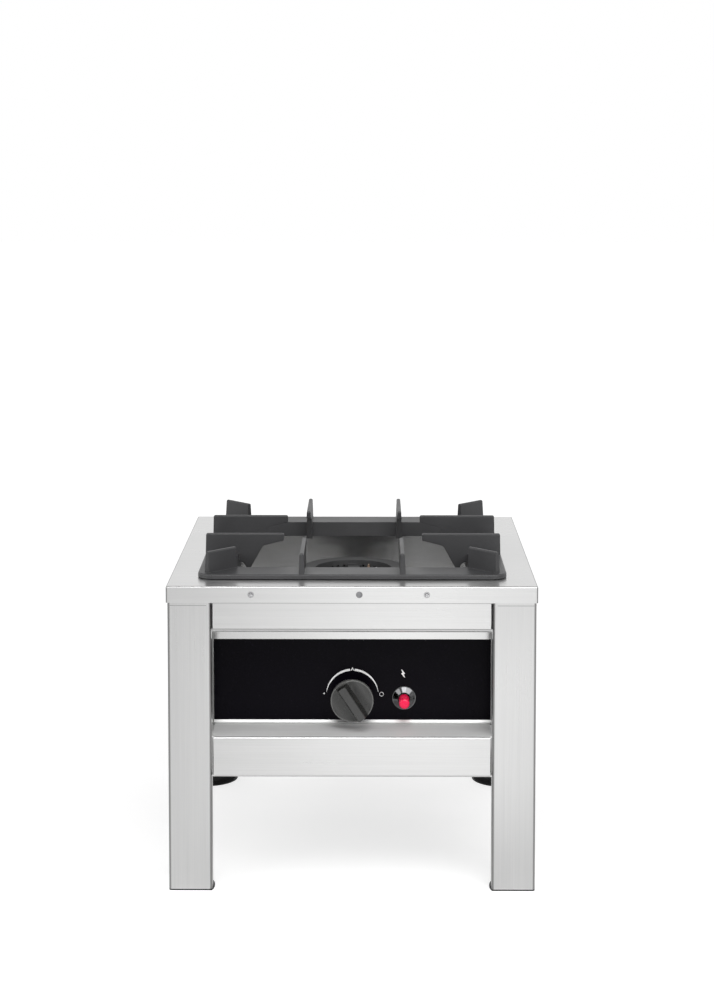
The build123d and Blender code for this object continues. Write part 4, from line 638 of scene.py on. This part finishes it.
class STOVE_OT_controls(bpy.types.Operator):
    """Knob, igniter and the valve behind the panel"""
    bl_idname = "stove.controls"
    bl_label = "Controls"

    # The bezel's depth in front of the film and its radius, in millimetres
    BEZEL = ((0, 6.3), (0, 13.1), (0.8, 13.1), (1.15, 12.95), (1.3, 12.6), (1.3, 12.3),
             (1.4, 12.1), (1.55, 11.88), (4.7, 7.28), (4.9, 7.0), (5.2, 6.8), (7.2, 6.7),
             (7.4, 6.5), (7.3, 6.3))
    BEZEL_SEGMENTS = 96
    # Radii between which the knob gets a painted highlight, and depths from its back, in metres
    RIM = (0.0216, 0.0228)
    RIM_DEPTH = (0.004, 0.007)
    # Share of the painted highlight that is left on the knob's side
    SIDE_HIGHLIGHT_SHARE = 0.25
    # Colour of the painted highlight on the rim
    RIM_HIGHLIGHT_COLOUR = (0.17, 0.17, 0.165)

    def execute(self, context):
        controls = context.scene.stove_controls
        dress(self.knob_plastic(tuple(controls.knob_colour)), "knob")
        button = plastic(
            "button_plastic", tuple(controls.button_colour), roughness=0.3, shine=0.35,
            grit=400, depth=0.000002, mottle=0.04)
        dress(button, "igniter_button")
        dress(plastic("igniter_plastic", (0.02, 0.02, 0.022), roughness=0.4), "igniter_body")
        dress(metal("plated_steel", (0.52, 0.52, 0.53), roughness=0.32),
              "igniter_nut", "valve_bracket", "valve_screws", "valve_spindle", "push_pin")
        self.bezel()
        return {"FINISHED"}

    def knob_plastic(self, colour):
        """Glossy dark plastic with a painted highlight round the rim of its face."""
        material, tree, shader = new_material("knob_plastic")
        specks = noise(tree, place(tree), scale=1500, detail=2)
        smears = noise(tree, place(tree, (1, 1, 0.35)), scale=160, detail=3)
        share = evened(tree, smears)
        body = tint(tree, share, shaded(colour, 0.6), shaded(colour, 1.5))
        # The rim is lightened by a painted highlight
        tone = towards(tree, self.painted_rim_highlight(tree), body, self.RIM_HIGHLIGHT_COLOUR)
        tree.links.new(tone, shader.inputs["Base Color"])
        tree.links.new(spread(tree, share, 0.16, 0.34), shader.inputs["Roughness"])
        shader.inputs["Specular IOR Level"].default_value = 0.75
        shader.inputs["IOR"].default_value = 1.55
        bump(tree, shader, specks, depth=0.00001, rounding=0.4 * MM)
        return material

    def painted_rim_highlight(self, tree):
        """How much painted highlight the knob gets: fully at its rim, less on its side behind it."""
        radial = tree.nodes.new("ShaderNodeMapping")
        radial.inputs["Location"].default_value = (-KNOB_CENTRE.x, 0, -KNOB_CENTRE.z)
        radial.inputs["Scale"].default_value = (1, 0, 1)
        tree.links.new(place(tree), radial.inputs["Vector"])
        rim = share_of(tree, length_of(tree, radial.outputs["Vector"]), *self.RIM)
        start, end = (KNOB_BACK - depth for depth in self.RIM_DEPTH)
        highlight_fade = spread(tree, axis_part(tree, place(tree), "Y"), self.SIDE_HIGHLIGHT_SHARE, 1, start, end)
        return combined(tree, "MULTIPLY", rim, highlight_fade)

    def bezel(self):
        """The igniter's flared ring of dark chrome."""
        bm = bmesh.new()
        turned(bm, self.BEZEL, IGNITER_CENTRE, FILM_FRONT, -1, self.BEZEL_SEGMENTS)
        chrome = metal(
            "bezel_chrome", (0.15, 0.15, 0.155), roughness=0.12, mottle=0.03,
            grit=300, depth=0.000002)
        add_piece("bezel_ring", bm, chrome, replaced=("igniter_bezel",))


class STOVE_OT_gas_line(bpy.types.Operator):
    """Brass fittings, pipes, leads and the pilot set"""
    bl_idname = "stove.gas_line"
    bl_label = "Gas Line"

    # The inlet's sizes, in millimetres
    HEXAGON = 25
    HEXAGON_LENGTH = 18
    BORE = 7.5
    THREAD_START = 27
    THREAD_RADIUS = 10.48
    THREAD_DEPTH = 1.1
    THREAD_PITCH = 1.814
    PLAIN_END = 1
    CHAMFER = 0.6
    ROWS_PER_TURN = 6
    SEGMENTS = 48

    def execute(self, context):
        brass = metal("gas_brass", (0.72, 0.53, 0.24), roughness=0.3)
        dress(brass, "inlet_locknut", "pipe_nuts", "injector", "injector_holder", "valve_body",
              "valve_bonnet", "magnet_unit", "pilot_burner")
        self.inlet(brass)
        dress(metal("pipe_metal", (0.66, 0.67, 0.68), roughness=0.28),
              "gas_pipe", "outlet_pipe", "pilot_tube")
        dress(metal("copper_lead", (0.5, 0.36, 0.27), roughness=0.3), "thermocouple")
        ceramic = plastic(
            "spark_ceramic", (0.78, 0.75, 0.69), roughness=0.25, grit=500, depth=0.000004,
            mottle=0.05, coat=0.4)
        dress(ceramic, "electrode_ceramic")
        dress(metal("spark_wire", (0.75, 0.75, 0.76), roughness=0.18), "electrode_wire")
        dress(plastic("lead_sleeve", (0.68, 0.65, 0.6), roughness=0.55), "ignition_lead")
        return {"FINISHED"}

    def inlet(self, material):
        """The threaded gas inlet with its hexagon and bore."""
        low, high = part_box("inlet_nipple")

        def hexagon(angle):
            sixth = math.pi / 3
            return self.HEXAGON / 2 / math.cos((angle + sixth / 2) % sixth - sixth / 2)

        def thread(depth):
            def radius(angle):
                turn = (depth / self.THREAD_PITCH - angle / (2 * math.pi)) % 1
                return self.THREAD_RADIUS - self.THREAD_DEPTH * abs(2 * turn - 1)
            return radius

        length = (high.y - low.y) / MM
        end = length - self.PLAIN_END
        root = self.THREAD_RADIUS - self.THREAD_DEPTH
        rows = [(0, self.BORE), (0, hexagon), (self.HEXAGON_LENGTH, hexagon),
                (self.HEXAGON_LENGTH, root), (self.THREAD_START, root)]
        turns = int((end - self.THREAD_START) / self.THREAD_PITCH)
        for row in range(1, turns * self.ROWS_PER_TURN + 1):
            depth = self.THREAD_START + row * self.THREAD_PITCH / self.ROWS_PER_TURN
            rows.append((depth, thread(depth)))
        rows += [(end, root), (length, root - self.CHAMFER), (length, self.BORE)]
        bm = bmesh.new()
        turned(bm, rows, (low + high) / 2, low.y, 1, self.SEGMENTS)
        add_piece("inlet_thread", bm, material, replaced=("inlet_nipple",))


class STOVE_OT_burner(bpy.types.Operator):
    """Cast burner, its bars and its air shutter"""
    bl_idname = "stove.burner"
    bl_label = "Burner"

    def execute(self, context):
        colour = tuple(context.scene.stove_castings.burner_colour)
        dress(cast("burner_iron", colour, roughness=0.55, depth=0.00012, metallic=0.3), "burner")
        dress(metal("bar_steel", (0.5, 0.5, 0.51), roughness=0.34),
              "burner_bar_front", "burner_bar_rear", "pilot_plate", "air_shutter")
        return {"FINISHED"}


class STOVE_OT_pan_support(bpy.types.Operator):
    """Cast pan support"""
    bl_idname = "stove.pan_support"
    bl_label = "Pan Support"

    def execute(self, context):
        colour = tuple(context.scene.stove_castings.support_colour)
        dress(cast("support_iron", colour, roughness=0.42, depth=0.00008), "pan_support")
        return {"FINISHED"}


class STOVE_OT_fasteners(bpy.types.Operator):
    """Rivets and screws"""
    bl_idname = "stove.fasteners"
    bl_label = "Fasteners"

    def execute(self, context):
        dress(metal("rivet_steel", (0.5, 0.5, 0.51), roughness=0.22), "skirt_rivets")
        dress(metal("screw_steel", (0.3, 0.3, 0.31), roughness=0.35),
              "skirt_screw", "bar_screws", "burner_screws", "shutter_screw", "pilot_screw")
        return {"FINISHED"}


class STOVE_OT_stage(bpy.types.Operator):
    """White floor and surround, soft lights and the camera"""
    bl_idname = "stove.stage"
    bl_label = "Stage"

    LENS = 70.99
    SENSOR = 36
    # The camera's place in millimetres, and its angles in degrees
    CAMERA = (20.16, -2284.6, 807.6)
    PITCH = 4.257
    YAW = 0.401
    SHIFT = -0.2087
    NEAREST = 0.05
    FURTHEST = 60
    # Each lamp's place, aim and size, in metres
    KEY_LIGHT = ((0.05, -1.25, 1.75), (0, -0.15, 0.2), 0.9)
    SIDE_LIGHT = ((1.5, -2.0, 1.9), (0, 0, 0.25), 1.8)
    FILL_LIGHT = ((-1.9, -1.2, 1.3), (0, 0, 0.2), 1.6)
    # Half the floor's width, in metres
    FLOOR_HALF = 14
    FLOOR_COLOUR = (0.55, 0.55, 0.55)
    # The floor's glow near the stove and far from it, and those distances in metres
    FLOOR_GLOW = (0.62, 0.76)
    GLOW_SPAN = (0.5, 2.5)
    # What metal sees in front of the stove from left to right, as shares of white
    TONES = ((0.0, 0.1), (0.2, 0.2), (0.36, 0.6), (0.5, 0.88), (0.6, 1.0), (0.8, 0.6), (1.0, 0.4))
    # How far those tones reach to the sides and where they start and end in front
    FLOOR_REACH = 0.45
    FLOOR_FRONT = (-0.3, -0.6)
    FLOOR_ELSEWHERE = 0.4
    SKY_REACH = 0.4
    SKY_FRONT = (-0.1, -0.6)
    SKY_ELSEWHERE = 1
    # What metal sees overhead, and how steep that is
    OVERHEAD_TONE = 0.25
    OVERHEAD_SPAN = (0.42, 0.75)

    def execute(self, context):
        stage = context.scene.stove_stage
        scene = context.scene
        scene.view_settings.view_transform = "Standard"
        self.floor()
        self.world(scene, stage.world_light)
        self.light("key_light", stage.key_power, *self.KEY_LIGHT)
        self.light("side_light", stage.side_power, *self.SIDE_LIGHT)
        self.light("fill_light", stage.fill_power, *self.FILL_LIGHT)
        self.camera(scene)
        return {"FINISHED"}

    def camera(self, scene):
        """The camera at the photograph's place and angle."""
        data = bpy.data.cameras.new("camera")
        data.lens = self.LENS
        data.sensor_width = self.SENSOR
        data.shift_y = self.SHIFT
        data.clip_start = self.NEAREST
        data.clip_end = self.FURTHEST
        camera = bpy.data.objects.new("camera", data)
        camera.location = Vector(self.CAMERA) * MM
        camera.rotation_euler = (math.radians(90 - self.PITCH), 0, math.radians(self.YAW))
        scene.collection.objects.link(camera)
        scene.camera = camera

    def floor(self):
        """A wide white floor that keeps the stove's shadow."""
        bm = bmesh.new()
        bmesh.ops.create_grid(bm, x_segments=1, y_segments=1, size=self.FLOOR_HALF)
        mesh = bpy.data.meshes.new("floor")
        bm.to_mesh(mesh)
        bm.free()
        material, tree, shader = new_material("floor_white")
        tree.nodes.remove(shader)
        matt = tree.nodes.new("ShaderNodeBsdfDiffuse")
        matt.inputs["Color"].default_value = (*self.FLOOR_COLOUR, 1)
        glow = tree.nodes.new("ShaderNodeEmission")
        position = place(tree)
        level = spread(tree, length_of(tree, position), *self.FLOOR_GLOW, *self.GLOW_SPAN)
        tones = self.surround(
            tree, position, self.FLOOR_REACH, self.FLOOR_FRONT, self.FLOOR_ELSEWHERE)
        tree.links.new(self.seen_directly(tree, level, tones), glow.inputs["Strength"])
        both = tree.nodes.new("ShaderNodeAddShader")
        tree.links.new(matt.outputs[0], both.inputs[0])
        tree.links.new(glow.outputs[0], both.inputs[1])
        tree.links.new(both.outputs[0], tree.nodes["Material Output"].inputs["Surface"])
        mesh.materials.append(material)
        floor = bpy.data.objects.new("floor", mesh)
        bpy.context.scene.collection.objects.link(floor)

    def surround(self, tree, vector, reach, front, elsewhere):
        """The share of white that a place or direction in front of the stove has for metal."""
        across = share_of(tree, axis_part(tree, vector, "X"), -reach, reach)
        ramp = tree.nodes.new("ShaderNodeValToRGB")
        ramp.color_ramp.interpolation = "EASE"
        for index, (position, tone) in enumerate(self.TONES):
            stops = ramp.color_ramp.elements
            stop = stops[index] if index < 2 else stops.new(position)
            stop.position = position
            stop.color = (tone, tone, tone, 1)
        tree.links.new(across, ramp.inputs["Fac"])
        ahead = share_of(tree, axis_part(tree, vector, "Y"), *front)
        difference = combined(tree, "SUBTRACT", ramp.outputs["Color"], elsewhere)
        return combined(tree, "ADD", combined(tree, "MULTIPLY", difference, ahead), elsewhere)

    def seen_directly(self, tree, strength, tones):
        """Full strength for the camera and glass, toned for metal, and 0 for the light it gives."""
        path = tree.nodes.new("ShaderNodeLightPath")
        mirrored = combined(tree, "MULTIPLY", path.outputs["Is Glossy Ray"], tones)
        seen = combined(
            tree, "MAXIMUM", path.outputs["Is Camera Ray"], path.outputs["Is Transmission Ray"])
        return combined(tree, "MULTIPLY", combined(tree, "MAXIMUM", seen, mirrored), strength)

    def world(self, scene, strength):
        """White all round: 1 where it is seen, and the world's own strength as light."""
        world = bpy.data.worlds.new("studio")
        scene.world = world
        world.use_nodes = True
        tree = world.node_tree
        background = tree.nodes["Background"]
        background.inputs["Color"].default_value = (1, 1, 1, 1)
        direction = tree.nodes.new("ShaderNodeTexCoord").outputs["Generated"]
        tones = self.surround(tree, direction, self.SKY_REACH, self.SKY_FRONT, self.SKY_ELSEWHERE)
        height = axis_part(tree, direction, "Z")
        overhead = spread(tree, height, 1, self.OVERHEAD_TONE, *self.OVERHEAD_SPAN)
        seen = self.seen_directly(tree, 1, combined(tree, "MULTIPLY", tones, overhead))
        tree.links.new(combined(tree, "MAXIMUM", seen, strength), background.inputs["Strength"])

    def light(self, name, power, spot, target, size):
        """A square lamp at a spot, turned to its target."""
        data = bpy.data.lights.new(name, "AREA")
        data.shape = "SQUARE"
        data.size = size
        data.energy = power
        lamp = bpy.data.objects.new(name, data)
        lamp.location = spot
        aim = Vector(target) - Vector(spot)
        lamp.rotation_euler = aim.to_track_quat("-Z", "Y").to_euler()
        bpy.context.scene.collection.objects.link(lamp)


class STOVE_PT_panel(bpy.types.Panel):
    """Lists the settings and the steps that dress the stove"""
    bl_idname = "STOVE_PT_panel"
    bl_label = "Stockpot Stove"
    bl_space_type = "VIEW_3D"
    bl_region_type = "UI"
    bl_category = "Stove"

    def draw(self, context):
        for group in SETTINGS:
            box = self.layout.box()
            settings = getattr(context.scene, group)
            for name in settings.__annotations__:
                box.prop(settings, name)
        for operator in OPERATORS:
            self.layout.operator(operator.bl_idname)


SETTINGS = {
    "stove_steel": STOVE_PG_steel,
    "stove_panel": STOVE_PG_panel,
    "stove_controls": STOVE_PG_controls,
    "stove_castings": STOVE_PG_castings,
    "stove_stage": STOVE_PG_stage,
}
OPERATORS = (
    STOVE_OT_stage,
    STOVE_OT_sheet_metal,
    STOVE_OT_panel_marks,
    STOVE_OT_controls,
    STOVE_OT_gas_line,
    STOVE_OT_burner,
    STOVE_OT_pan_support,
    STOVE_OT_fasteners,
)


def register():
    for group in SETTINGS.values():
        bpy.utils.register_class(group)
    for operator in OPERATORS:
        bpy.utils.register_class(operator)
    bpy.utils.register_class(STOVE_PT_panel)
    for name, group in SETTINGS.items():
        setattr(bpy.types.Scene, name, PointerProperty(type=group))


def unregister():
    for name in SETTINGS:
        delattr(bpy.types.Scene, name)
    bpy.utils.unregister_class(STOVE_PT_panel)
    for operator in reversed(OPERATORS):
        bpy.utils.unregister_class(operator)
    for group in reversed(list(SETTINGS.values())):
        bpy.utils.unregister_class(group)


def main():
    register()
    bpy.ops.stove.stage()
    bpy.ops.stove.sheet_metal()
    bpy.ops.stove.panel_marks()
    bpy.ops.stove.controls()
    bpy.ops.stove.gas_line()
    bpy.ops.stove.burner()
    bpy.ops.stove.pan_support()
    bpy.ops.stove.fasteners()


if __name__ == "__main__":
    main()
